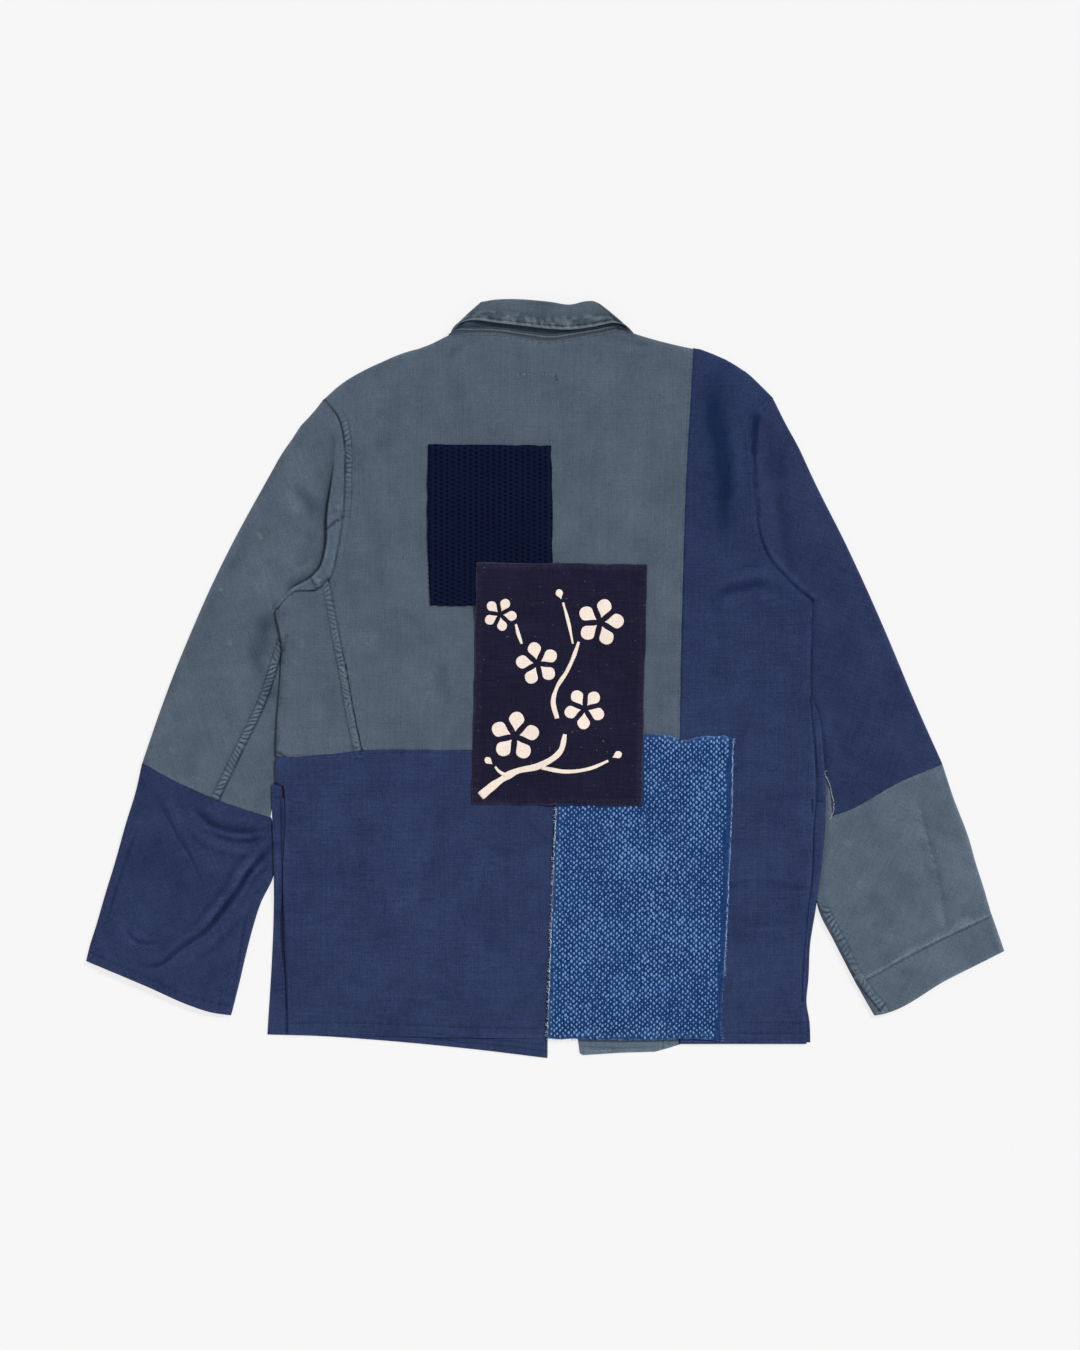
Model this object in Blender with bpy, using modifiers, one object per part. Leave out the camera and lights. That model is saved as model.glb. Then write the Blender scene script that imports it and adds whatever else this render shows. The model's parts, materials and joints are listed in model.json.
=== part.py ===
"""A patched work jacket, laid flat on its front with its back up.

Blender 4.5. The tables below are in millimetres and the finished meshes in metres. X runs across the
back, Y up it towards the collar, and Z up from the surface that the jacket lies on. The origin is on
that surface, under the middle of the jacket's outline.

Every piece of cloth is a loft through sections of its middle surface, made into a wall by Solidify.
The layers lie on each other: one ply is a thickness of cloth and the small gap above it.
"""

from collections import namedtuple
from math import hypot

import bpy

MM = 0.001

# ---------------------------------------------------------------------------
# Driving sizes, in millimetres
# ---------------------------------------------------------------------------

CLOTH = 1.2  # the wall of the jacket's own cotton
KNIT_CLOTH = 1.6
SASHIKO_CLOTH = 1.6
INDIGO_CLOTH = 1.0
GAP = 0.3  # between two pieces, at a seam or where one lies on the other
PLY = CLOTH + GAP

FLOOR = CLOTH / 2  # the middle of a layer that lies on the surface
UNDER = FLOOR + PLY  # a sleeve's upper layer where the body lies on it
OVER = FLOOR + 2 * PLY  # a front where it lies on the edge of a sleeve
BACK = FLOOR + 3 * PLY  # the back
SLEEVE_TOP = 4.8  # a sleeve's upper layer where nothing lies on it
PLEAT_TOP = 5.4  # the raised strip of a sleeve beside the armhole
SLEEVE_FOLD = 1.2  # the roll along a sleeve's fold
SIDE_RAMP = (18, 42)  # a sleeve rises between these distances from the body's edge
SHOULDER_FOLD = 2.4  # the back's middle surface at the shoulder fold
HEM_LEVEL = FLOOR + PLY  # the back's middle surface at its hem and vents

WAIST = -72  # the join of the grey-green and navy parts of the back
STRIP_FOOT = 137  # where the right strip's seam meets the hem
FRONT_JOIN = 150  # the join of the two parts of the right front
LEFT_FRONT_EDGE = 2
RIGHT_FRONT_EDGE = 32
RAISED_LEFT = (-222, -248)  # a front rises between these to clear the left sleeve
RAISED_RIGHT = (222, 250)
RAISED_TOP = (120, 95)  # and it is down again above the armpits
RAISED_FOOT_LEFT = (-250, -215)  # and below the crossing of sleeve and side
RAISED_FOOT_RIGHT = (-270, -235)
VENT_DROP = (-270, -305)  # the back's vent edges come down between these heights
HEM_DROP = (-325, -358)  # and its hem between these

# ---------------------------------------------------------------------------
# Tables: a row for each section
# ---------------------------------------------------------------------------

# An armhole from the shoulder to the armpit: the seam, the edge of the fold beside it, a place on the
# sleeve that is clear of both, and how far the sleeve drops at the fold, from 0 to 1.
Armhole = namedtuple("Armhole", "seam_x seam_y fold_x fold_y free_x free_y drop")

ARMHOLE_LEFT = [
    Armhole(-225, 285, -232, 273, -250, 257, 0.0),
    Armhole(-210, 265, -220, 257, -241, 238, 0.0),
    Armhole(-205, 244, -214, 238, -238, 218, 0.3),
    Armhole(-204, 208, -217, 204, -240, 190, 0.8),
    Armhole(-206, 165, -222, 167, -244, 160, 1.0),
    Armhole(-211, 134, -223, 136, -248, 132, 1.0),
    Armhole(-220, 102, -231, 111, -254, 113, 1.0),
    Armhole(-233, 91, -239, 103, -262, 98, 1.0),
    Armhole(-255, 89, -256, 93.5, -270, 74, 1.0),
    Armhole(-274, 71, -277, 74.5, -265, 50, 1.0),
]

ARMHOLE_RIGHT = [
    Armhole(232, 286, 236, 279, 249, 258, 0.0),
    Armhole(218, 269, 223, 264, 240, 243, 0.2),
    Armhole(211, 244, 216, 242, 236, 226, 0.5),
    Armhole(211, 208, 215, 207, 238, 196, 0.5),
    Armhole(214, 178, 218, 178, 243, 168, 0.5),
    Armhole(218, 148, 222, 150, 250, 140, 0.7),
    Armhole(228, 124, 231, 127, 258, 118, 1.0),
    Armhole(243, 106, 246, 109, 268, 102, 1.0),
    Armhole(258, 91, 261, 94, 272, 78, 1.0),
    Armhole(272, 80, 276, 83, 264, 54, 1.0),
]

# The edges of the body that the sleeves pass under, downwards from the armhole.
LEFT_SIDE = [(a.fold_x, a.fold_y) for a in ARMHOLE_LEFT[2:]]
LEFT_SIDE += [(-271, 54), (-268, 34), (-273, -79), (-275, -103), (-280, -109), (-277, -207)]
RIGHT_SIDE = [(a.fold_x, a.fold_y) for a in ARMHOLE_RIGHT[1:]]
RIGHT_SIDE += [(271, -19), (282, -68), (285, -147), (276, -229)]

# The sections of a sleeve below its armhole, from its outer fold to its inner fold.
Ring = namedtuple("Ring", "outer_x outer_y inner_x inner_y")

SLEEVE_LEFT_UPPER = [
    Ring(-265, 234, -259, 24),
    Ring(-279, 209, -257, 2),
    Ring(-300, 170, -257, -22),
    Ring(-321, 132, -258, -46),
    Ring(-341, 91, -261, -69),
    Ring(-359, 50, -266, -91),
    Ring(-376, 9, -273, -110),
    Ring(-391, -31, -279, -126),
]

SLEEVE_LEFT_LOWER = [
    Ring(-416, -113, -276, -165),
    Ring(-427, -149, -278, -200),
    Ring(-437, -185, -291, -228),
    Ring(-448, -221, -299, -253),
    Ring(-457, -252, -306, -280),
    Ring(-463, -271, -312, -306),
]

SLEEVE_RIGHT_UPPER = [
    Ring(268, 213, 257, 28),
    Ring(288, 173, 255, 2),
    Ring(308, 132, 255, -22),
    Ring(327, 91, 256, -42),
    Ring(345, 50, 258, -58),
    Ring(362, 9, 261, -71),
    Ring(379, -31, 265, -80),
]

SLEEVE_RIGHT_LOWER = [
    Ring(414, -118, 270, -176),
    Ring(431, -163, 276.5, -221),
    Ring(438, -188, 279, -233),
    Ring(446, -213, 295, -266),
]

# The joins and hems of the sleeves, from the outer fold to the inner one.
JOIN_LEFT = [(-410, -86), (-383, -101), (-332, -124), (-281, -141)]
HEM_LEFT = [(-467, -287), (-416, -308), (-365, -331), (-341, -339), (-321, -342)]
JOIN_RIGHT = [(404, -87), (356, -107), (316, -130), (293, -143), (290, -115), (283, -95), (268, -88)]
CUFF_SEAM = [(453, -237), (410, -257), (368, -278), (323, -303), (315, -305)]
CUFF_HEM = [(467, -277), (414, -303), (343, -341), (336, -342)]

ACROSS = (0, 0.04, 0.12, 0.26, 0.42, 0.58, 0.73, 0.86, 0.95, 1)  # the stops across a sleeve
ACROSS_JOIN_RIGHT = (0, 0.04, 0.12, 0.26, 0.4, 0.53, 0.67, 0.81, 0.91, 1)

# The left side, where the front wraps round on to the back: the fold, and the side seam.
Wrap = namedtuple("Wrap", "fold_x fold_y seam_x seam_y")

WRAP_LEFT = [
    Wrap(-273, -79, -187, -73),
    Wrap(-272, -50, -193, -45),
    Wrap(-270, -20, -198, -18),
    Wrap(-268, 10, -203, 12),
    Wrap(-267, 34, -209, 42),
    Wrap(-271, 54, -214.5, 72),
    Wrap(-274, 69, -220, 102),
]

# The back above the waist: a row's height, and its left and right ends.
Across = namedtuple("Across", "y left right")

SHOULDER_ROWS = [
    Across(300, -208, 149),
    Across(315, -183, 150),
    Across(328, -153, 150.7),
    Across(336, -131, 151),
    Across(341, -116, 128),
]
NECK_SEAM = [
    (-98, 350), (-94, 351.5), (-80, 353), (-66, 353.4), (-41, 352), (-16, 348), (-2, 345.7),
    (10, 345.7), (30, 349), (56, 353.4), (77, 356.4), (87, 353), (91, 350.4),
]
STRIP_SEAM = [(-372, 137), (-57, 137), (106, 141), (213, 144), (285, 148), (336, 151)]

# The free edges of the lower back and the fronts: height and place.
VENT_LEFT = [(-362, -264), (-310, -264), (-251, -266), (-207, -267), (-109, -266), (-79, -272)]
FRONT_SIDE_LEFT = [
    (-362, -283), (-317, -280), (-260, -277), (-207, -276), (-141, -278), (-109, -279), (-105, -274),
    (-79, -273),
]
SIDE_SEAM_RIGHT = [(-371, 266), (-333, 264), (-199, 271), (-123, 272), (-50, 273), (-16, 270), (80, 272)]
FRONT_SIDE_RIGHT = [
    (-370, 270), (-355, 270), (-330, 266), (-306, 268), (-275, 269), (-229, 276), (-183, 282), (-147, 285),
    (-123, 284), (-68, 282), (-34, 277), (-19, 271), (80, 272),
]
LEFT_SHOULDER = [(-225, 285), (-208, 300), (-183, 315), (-153, 328), (-131, 336), (-98, 350)]
RIGHT_SHOULDER = [(232, 286), (223, 295), (201, 315), (158, 336), (128, 341), (91, 350)]
BACK_HEM = [(-264, -362), (-146, -364), (2, -366), (137, -366)]
FRONT_HEM_LEFT = [(-283, -362), (-211, -364), (-146, -370), (-71, -377), (2, -386)]
FRONT_HEM_RIGHT = [(32, -369), (38, -383), (75, -381), (112, -380), (130, -376), (150, -369)]
WAIST_SEAM = [(-272, -79), (-224, -77), (-187, -73), (-76, -72), (137, -72)]

# The collar, from the left front round the back to the right front. Each station has the neck seam,
# the ridge that the collar folds over, the free edge of the leaf, and the side of the stand that the
# leaf lies on: under it at the fronts, outside it at the sides, and over it at the back.
Station = namedtuple(
    "Station", "neck_x neck_y neck_z ridge_x ridge_y ridge_z free_x free_y free_z out_x out_y out_z"
)

COLLAR = [
    Station(0, 262, 2.1, -2, 285, 1.35, -8, 229, 0.6, 0, 0, -0.75),
    Station(-45, 272, 2.1, -25, 308, 1.35, -60, 243, 0.6, 0, 0, -0.75),
    Station(-80, 302, 2.1, -45, 340, 1.35, -101, 288, 0.6, 0, 0, -0.75),
    Station(-94, 330, 2.1, -58, 366, 1.35, -108, 320, 0.6, -0.1, 0.1, -0.75),
    Station(-97.6, 348, 2.3, -65, 378, 1.7, -102.4, 346.4, 0.6, -0.7, 0.7, -0.75),
    Station(-98.8, 352.4, 3.6, -68, 381, 3.9, -101.8, 353.6, 3.9, -1, 1, 0),
    Station(-95.5, 352.8, 5.1, -65, 382.5, 6.8, -96.5, 354.5, 7.0, -0.7, 0.7, 0.9),
    Station(-72, 354, 5.1, -58, 385, 8.0, -78, 364.8, 7.6, 0, 0, 1.5),
    Station(-46, 353, 5.1, -44, 386, 8.6, -47, 362, 8.0, 0, 0, 1.6),
    Station(-18, 349, 5.1, -20, 385.6, 8.8, -17, 358.5, 8.2, 0, 0, 1.7),
    Station(5, 346.2, 5.1, 4, 383.4, 8.8, 6, 356, 8.2, 0, 0, 1.7),
    Station(30, 349.6, 5.1, 24, 380.5, 8.6, 28, 355.6, 8.1, 0, 0, 1.7),
    Station(56, 354, 5.1, 42, 384, 8.4, 50, 358.5, 8.0, 0, 0, 1.6),
    Station(76, 357, 5.1, 52, 383, 8.0, 74, 362, 7.6, 0, 0, 1.5),
    Station(88.2, 353.8, 5.1, 58.5, 379.8, 6.8, 86.5, 356.5, 7.0, 0.7, 0.7, 1.0),
    Station(93.2, 352.6, 3.6, 63.4, 377.4, 3.9, 96.4, 353.6, 3.9, 1, 1, 0),
    Station(92.4, 348, 2.3, 61, 373, 1.7, 97.5, 347, 0.6, 0.7, 0.7, -0.75),
    Station(90, 330, 2.1, 56, 362, 1.35, 104, 320, 0.6, 0.1, 0.1, -0.75),
    Station(78, 302, 2.1, 50, 338, 1.35, 100, 288, 0.6, 0, 0, -0.75),
    Station(56, 278, 2.1, 42, 308, 1.35, 72, 248, 0.6, 0, 0, -0.75),
    Station(33, 264, 2.1, 24, 282, 1.35, 42, 231, 0.6, 0, 0, -0.75),
]
LEFT_COLLAR = COLLAR[:5]  # the stations along each front's neckline, from the front edge
RIGHT_COLLAR = COLLAR[:-6:-1]
NECK_GAP = 0.4
COLLAR_SEAM = 1.7  # between the stand's top edge and the leaf's start
COLLAR_LEAF_REACH = (62, 85)  # a front is raised by the leaf under it, this near the neckline

# The patches: corner points going round from the top left.
KNIT_PATCH = [(-119, 239), (7, 238), (8, 75), (-117, 75)]
INDIGO_PATCH = [(-70, 119), (104, 117), (98, -129), (-75, -127)]
SASHIKO_PATCH = [(13, -56), (192, -58), (180, -369), (1, -367)]

# A patch is raised over the edge of the one below it, and comes down between these distances from it.
PATCH_RAMP = (6, 17)
INDIGO_COLUMNS = (0, 0.156, 0.312, 0.387, 0.451, 0.491, 0.555, 0.676, 0.844, 1)
INDIGO_ROWS = (0, 0.113, 0.215, 0.312, 0.356, 0.478, 0.619, 0.757, 0.802, 0.903, 1)
PATCH_LOOSE = 5  # a patch comes down at the hem this much later than the back

# Colour and roughness of each cloth.
Finish = namedtuple("Finish", "red green blue roughness")

GREY_GREEN = Finish(0.082, 0.109, 0.144, 0.85)
NAVY = Finish(0.028, 0.042, 0.112, 0.85)
DARK_KNIT = Finish(0.005, 0.008, 0.024, 0.9)
DARK_INDIGO = Finish(0.013, 0.011, 0.03, 0.9)
SASHIKO_BLUE = Finish(0.04, 0.095, 0.235, 0.9)


# ---------------------------------------------------------------------------
# Arithmetic
# ---------------------------------------------------------------------------


def ramp(value, start, end):
    """0 at start, 1 at end, straight between them and level outside them."""
    return min(1.0, max(0.0, (value - start) / (end - start)))


def mix(a, b, share):
    return tuple(p + (q - p) * share for p, q in zip(a, b))


def at(table, value):
    """The second column of a table where its first column has this value."""
    rows = sorted(table)
    for (low, first), (high, second) in zip(rows, rows[1:]):
        if value <= high:
            return first + (second - first) * ramp(value, low, high)
    return rows[-1][1]


def along(line, share):
    """The point that lies this share of the way along a line of points."""
    lengths = [hypot(b[0] - a[0], b[1] - a[1]) for a, b in zip(line, line[1:])]
    left = share * sum(lengths)
    for a, b, length in zip(line, line[1:], lengths):
        if left <= length:
            return mix(a, b, left / length)
        left -= length
    return tuple(line[-1])


def nearest(line, x, y):
    """The distance to a line, and which side of it the point is on (1 is on the left going along it)."""
    best = (1e9, 1)
    for a, b in zip(line, line[1:]):
        run, rise = b[0] - a[0], b[1] - a[1]
        share = ramp((x - a[0]) * run + (y - a[1]) * rise, 0, run * run + rise * rise)
        off = hypot(x - a[0] - run * share, y - a[1] - rise * share)
        side = 1 if run * (y - a[1]) - rise * (x - a[0]) > 0 else -1
        best = min(best, (off, side))
    return best


def moved(point, towards, distance):
    """A point moved a distance towards another, in plan."""
    run, rise = towards[0] - point[0], towards[1] - point[1]
    length = hypot(run, rise)
    return (point[0] + run * distance / length, point[1] + rise * distance / length)


# ---------------------------------------------------------------------------
# How high each layer lies
# ---------------------------------------------------------------------------


def front_neckline(stations):
    """A front's edge along the collar, ending half way between the last two stations."""
    necks = [(s.neck_x, s.neck_y) for s in stations]
    ridges = [(s.ridge_x, s.ridge_y) for s in stations]
    necks[-1] = mix(necks[-2], necks[-1], 0.5)
    ridges[-1] = mix(ridges[-2], ridges[-1], 0.5)
    return [moved(neck, ridge, -NECK_GAP) for neck, ridge in zip(necks, ridges)]


def front_level(x, y):
    """The fronts lie on the surface, and rise over the sleeves' edges and the collar's leaf."""
    left = ramp(x, *RAISED_LEFT) * ramp(y, *RAISED_FOOT_LEFT)
    right = ramp(x, *RAISED_RIGHT) * ramp(y, *RAISED_FOOT_RIGHT)
    over_sleeve = (left + right) * ramp(y, *RAISED_TOP)
    to_neck = min(nearest(front_neckline(side), x, y)[0] for side in (LEFT_COLLAR, RIGHT_COLLAR))
    over_leaf = 1 - ramp(to_neck, *COLLAR_LEAF_REACH)
    return FLOOR + max(2 * PLY * over_sleeve, PLY * over_leaf)


def back_level(x, y):
    """The back is level, and comes down at the shoulders, the hem and the vents."""
    to_fold = min(nearest(LEFT_SHOULDER, x, y)[0], nearest(RIGHT_SHOULDER, x, y)[0])
    shoulder = (BACK - SHOULDER_FOLD) * (1 - ramp(to_fold, 0, 14)) * ramp(abs(x), 130, 180)
    at_vent = max(ramp(x, -240, -264), ramp(x, 240, 264)) * ramp(y, *VENT_DROP)
    at_hem = ramp(y, *HEM_DROP)
    return BACK - max(shoulder, (BACK - HEM_LEVEL) * max(at_vent, at_hem))


def sleeve_level(x, y):
    """A sleeve's upper layer goes down towards the body's edge, to pass under it."""
    side, outwards = (LEFT_SIDE, -1) if x < 0 else (RIGHT_SIDE, 1)
    if y < side[-1][1]:
        return SLEEVE_TOP
    distance, hand = nearest(side, x, y)
    return UNDER + (SLEEVE_TOP - UNDER) * ramp(distance * hand * outwards, *SIDE_RAMP)


# ---------------------------------------------------------------------------
# Cloth
# ---------------------------------------------------------------------------


def new_collection(name):
    collection = bpy.data.collections.new(name)
    bpy.context.scene.collection.children.link(collection)
    return collection


def new_material(name, finish):
    material = bpy.data.materials.new(name)
    material.use_nodes = True
    surface = material.node_tree.nodes["Principled BSDF"]
    surface.inputs["Base Color"].default_value = (finish.red, finish.green, finish.blue, 1)
    surface.inputs["Roughness"].default_value = finish.roughness
    surface.inputs["Metallic"].default_value = 0
    return material


def cloth(collection, name, sections, finish, thickness=CLOTH, closed=False):
    """A wall of cloth lofted through sections. A section that is longer than its neighbour, as where
    cloth wraps round a side, keeps its extra points for the neighbours that have them too."""
    vertices, first = [], []
    for section in sections:
        first.append(len(vertices))
        vertices += [(x * MM, y * MM, z * MM) for x, y, z in section]
    faces = []
    for row, (lower, upper) in enumerate(zip(sections, sections[1:])):
        count = min(len(lower), len(upper))
        for column in range(count if closed else count - 1):
            following = (column + 1) % count
            faces.append((
                first[row] + column,
                first[row] + following,
                first[row + 1] + following,
                first[row + 1] + column,
            ))
    mesh = bpy.data.meshes.new(name)
    mesh.from_pydata(vertices, [], faces)
    mesh.shade_smooth()
    mesh.materials.append(new_material(name, finish))
    piece = bpy.data.objects.new(name, mesh)
    collection.objects.link(piece)
    wall = piece.modifiers.new("wall", "SOLIDIFY")
    wall.thickness = thickness * MM
    wall.offset = 0
    return piece


def row_between(left, right, stops, level):
    """A section from one plan point to another, at the height that level gives."""
    points = [mix(left, right, stop) for stop in stops]
    return [(x, y, level(x, y)) for x, y in points]


# ---------------------------------------------------------------------------
# The back
# ---------------------------------------------------------------------------

BACK_STOPS = (0, 0.035, 0.11, 0.21, 0.31, 0.41, 0.5, 0.59, 0.69, 0.79, 0.89, 0.965, 1)
STRIP_STOPS = (0, 0.18, 0.4, 0.62, 0.84, 1)


def strip_seam(y, side):
    """A point on one side of the seam between the back and its right strip."""
    return (at(STRIP_SEAM, y) + side * GAP / 2, y)


def seam_point(station, side):
    """A point of an armhole seam: side -1 is the body's edge, and 1 is the sleeve's."""
    seam, fold = (station.seam_x, station.seam_y), (station.fold_x, station.fold_y)
    return moved(seam, fold, side * GAP * 0.8)


def back_upper(collection):
    sections = []
    for wrap in WRAP_LEFT[:-1]:
        y = max(wrap.seam_y, WAIST + GAP / 2)
        left = (wrap.seam_x + GAP / 2, y)
        sections.append(row_between(left, strip_seam(y, -1), BACK_STOPS, back_level))
    for station in reversed(ARMHOLE_LEFT[:7]):
        left = seam_point(station, -1)
        sections.append(row_between(left, strip_seam(left[1], -1), BACK_STOPS, back_level))
    for row in SHOULDER_ROWS:
        right = (min(row.right, at(STRIP_SEAM, row.y) - GAP / 2), row.y)
        sections.append(row_between((row.left, row.y), right, BACK_STOPS, back_level))
    sections.append([(x, y - GAP, back_level(x, y)) for x, y in NECK_SEAM])
    return cloth(collection, "back_upper", sections, GREY_GREEN)


def back_lower_left(collection):
    columns = (-230, -187, -150, -112, -76, -40, -4, 30, 65, 100)
    sections = []
    for y in (-79, -109, -150, -207, -270, -305, -325, -358, -365):
        left = at(VENT_LEFT, y)
        xs = [left, (left + columns[0]) / 2, *columns, STRIP_FOOT - GAP / 2]
        section = []
        for x in xs:
            y_here = {-79: at(WAIST_SEAM, x) - GAP / 2, -365: at(BACK_HEM, x)}.get(y, y)
            section.append((x, y_here, back_level(x, y_here)))
        sections.append(section)
    return cloth(collection, "back_lower_left", sections, NAVY)


def back_right(collection):
    sections = []
    for y in (-371.5, -358, -325, -305, -270, -199, -160, -123, -86, -50, -16, 15, 45):
        right = (at(SIDE_SEAM_RIGHT, y), y)
        sections.append(row_between(strip_seam(y, 1), right, STRIP_STOPS, back_level))
    for station in reversed(ARMHOLE_RIGHT):
        right = seam_point(station, -1)
        sections.append(row_between(strip_seam(right[1], 1), right, STRIP_STOPS, back_level))
    for x, y in ((223, 295), (201, 315), (176, 328)):
        sections.append(row_between(strip_seam(y, 1), (x, y), STRIP_STOPS, back_level))
    sections.append(row_between(strip_seam(335, 1), (159, 335.6), STRIP_STOPS, back_level))
    return cloth(collection, "back_right", sections, NAVY)


# ---------------------------------------------------------------------------
# The fronts
# ---------------------------------------------------------------------------

FRONT_STOPS = (0, 0.21, 0.43, 0.64, 0.82, 0.924, 1)  # from the front edge to the side
SIDE_COLUMNS = (FRONT_JOIN + GAP / 2, 185, *RAISED_RIGHT)


def front_left_upper(collection):
    """From the front edge across to the side, and for the rows below the armpit round the side's
    fold and back over the top to the side seam."""
    sections = []
    for wrap in WRAP_LEFT:
        y = max(wrap.fold_y, -79 + GAP / 2)
        under = row_between((LEFT_FRONT_EDGE, y), (wrap.fold_x, y), FRONT_STOPS, front_level)
        middle = (OVER + BACK) / 2
        fold = [(wrap.fold_x - (BACK - OVER) / 2, y, middle), (wrap.fold_x, y, BACK)]
        seam = (wrap.seam_x - GAP / 2, wrap.seam_y + GAP / 2 * (wrap is WRAP_LEFT[0]))
        if wrap is WRAP_LEFT[-1]:
            over = [seam_point(ARMHOLE_LEFT[k], -1) for k in (8, 7, 6)]
            over[-1] = (over[-1][0] - GAP, over[-1][1])
        else:
            over = [mix((wrap.fold_x, y), seam, share) for share in (0.35, 0.72, 1)]
        sections.append(under + fold + [(x, y_over, BACK) for x, y_over in over])
    for station in reversed(ARMHOLE_LEFT[2:9]):
        left = seam_point(station, -1)
        sections.append(row_between((LEFT_FRONT_EDGE, left[1]), left, FRONT_STOPS, front_level))
    lefts = [seam_point(station, -1) for station in (ARMHOLE_LEFT[1], ARMHOLE_LEFT[0])]
    lefts += [*LEFT_SHOULDER[1:3], (-124, 337.5)]
    for left, neck in zip(lefts, front_neckline(LEFT_COLLAR)):
        sections.append(row_between(neck, left, FRONT_STOPS, front_level))
    return cloth(collection, "front_left_upper", sections, GREY_GREEN)


def front_left_lower(collection):
    sections = []
    for y in (-79, -105, -109, -141, -175, -215, -250, -285, -320, -345, -362):
        side = at(FRONT_SIDE_LEFT, y)
        section = row_between((LEFT_FRONT_EDGE, y), (side, y), FRONT_STOPS, front_level)
        if y == -79:
            section = [(x, y_here - GAP / 2, z) for x, y_here, z in section]
        if y == -362:
            section = [(x, at(FRONT_HEM_LEFT, x), z) for x, _, z in section]
        sections.append(section)
    return cloth(collection, "front_left_lower", sections, NAVY)


def front_right_side(collection):
    sections = []
    for y in (-370, -350, -330, -306, -270, -235, -183, -147, -123, -95, -68, -34, -19, 15, 45):
        xs = [*SIDE_COLUMNS, at(FRONT_SIDE_RIGHT, y)]
        sections.append([(x, y, front_level(x, y)) for x in xs])
    first, last = SIDE_COLUMNS[0], ARMHOLE_RIGHT[-1].seam_x
    stops = [(x - first) / (last - first) for x in SIDE_COLUMNS] + [1]
    for station in reversed(ARMHOLE_RIGHT):
        right = seam_point(station, -1)
        sections.append(row_between((first, right[1]), right, stops, front_level))
    for x, y in ((223, 295), (201, 315), (176, 328)):
        sections.append(row_between((first, y), (x, y), stops, front_level))
    return cloth(collection, "front_right_side", sections, NAVY)


def front_right(collection):
    stops = (0, 0.25, 0.5, 0.75, 1)
    sections = []
    for y in (-375, -350, -310, -260, -210, -160, -110, -60, -10, 40, 90, 140, 190, 235):
        section = row_between((RIGHT_FRONT_EDGE, y), (FRONT_JOIN - GAP / 2, y), stops, front_level)
        if y == -375:
            section = [(x, at(FRONT_HEM_RIGHT, x), z) for x, _, z in section]
        sections.append(section)
    rights = [(FRONT_JOIN - GAP / 2, y) for y in (262, 285, 306, 328)] + [(124, 338)]
    for neck, right in zip(front_neckline(RIGHT_COLLAR), rights):
        sections.append(row_between(neck, right, stops, front_level))
    return cloth(collection, "front_right", sections, GREY_GREEN)


# ---------------------------------------------------------------------------
# The sleeves
# ---------------------------------------------------------------------------


def tube_section(plan, top, bottom):
    """A closed section over the top from the outer fold to the inner one, and back underneath."""
    outer_roll = min(SLEEVE_FOLD, (top[0] - bottom[0]) / 2)
    inner_roll = min(SLEEVE_FOLD, (top[-1] - bottom[-1]) / 2)
    outer, inner = plan[0], plan[-1]
    inset = [moved(outer, plan[1], outer_roll), *plan[1:-1], moved(inner, plan[-2], inner_roll)]
    upper = [(x, y, z) for (x, y), z in zip(inset, top)]
    lower = [(x, y, z) for (x, y), z in zip(inset, bottom)]
    outer_fold = (*outer, (top[0] + bottom[0]) / 2)
    inner_fold = (*inner, (top[-1] + bottom[-1]) / 2)
    return [outer_fold, *upper, inner_fold, *reversed(lower)]


def plain_section(plan):
    """A section of a sleeve that lies flat: high in the middle, and low at its folds."""
    edge = FLOOR + 2 * SLEEVE_FOLD
    rise = (0, 0.35, 0.8, 1, 1, 1, 1, 0.85, 0.35, 0)
    top = []
    for (x, y), share in zip(plan, rise):
        level = sleeve_level(x, y)
        top.append(min(level, edge + (level - edge) * share) if level > edge else level)
    return tube_section(plan, top, [FLOOR] * len(plan))


def armhole_sections(armhole):
    """The sections from the armhole seam over the edge of the fold beside it, out to the free sleeve."""
    steps = (  # share of the way from seam to fold, distance past the fold, height, share of the descent
        (0, 0, BACK, 0),
        (0.8, 0, PLEAT_TOP, 0.3),
        (1, 0, 4.5, 0.6),
        (1, 0.5, 2.7, 0.9),
        (1, 4, UNDER, 1),
    )
    sections = []
    for share, past, height, down in steps:
        plan, top, bottom = [], [], []
        for station in armhole:
            seam, fold = seam_point(station, 1), (station.fold_x, station.fold_y)
            free = (station.free_x, station.free_y)
            place = mix(seam, fold, share)
            plan.append(moved(place, free, past) if past else place)
            level = SLEEVE_TOP + (height - SLEEVE_TOP) * station.drop
            top.append(level if share else BACK)
            start = front_level(*seam)
            bottom.append(start + (FLOOR - start) * down)
        top[0] = min(top[0], SHOULDER_FOLD + 0.6)
        sections.append(tube_section(plan, top, bottom))
    sections.append(plain_section([(a.free_x, a.free_y) for a in armhole]))
    return sections


def ring_sections(rings):
    return [
        plain_section([mix((r.outer_x, r.outer_y), (r.inner_x, r.inner_y), stop) for stop in ACROSS])
        for r in rings
    ]


def line_section(line, shift, stops=ACROSS):
    """A section along a join or hem, moved square to it down the sleeve by a small distance."""
    points = [along(line, stop) for stop in stops]
    down = 1 if points[0][0] < 0 else -1
    plan = []
    for number, (x, y) in enumerate(points):
        before, after = points[max(number - 1, 0)], points[min(number + 1, len(points) - 1)]
        run, rise = after[0] - before[0], after[1] - before[1]
        length = hypot(run, rise)
        plan.append((x + down * shift * rise / length, y - down * shift * run / length))
    return plain_section(plan)


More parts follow.
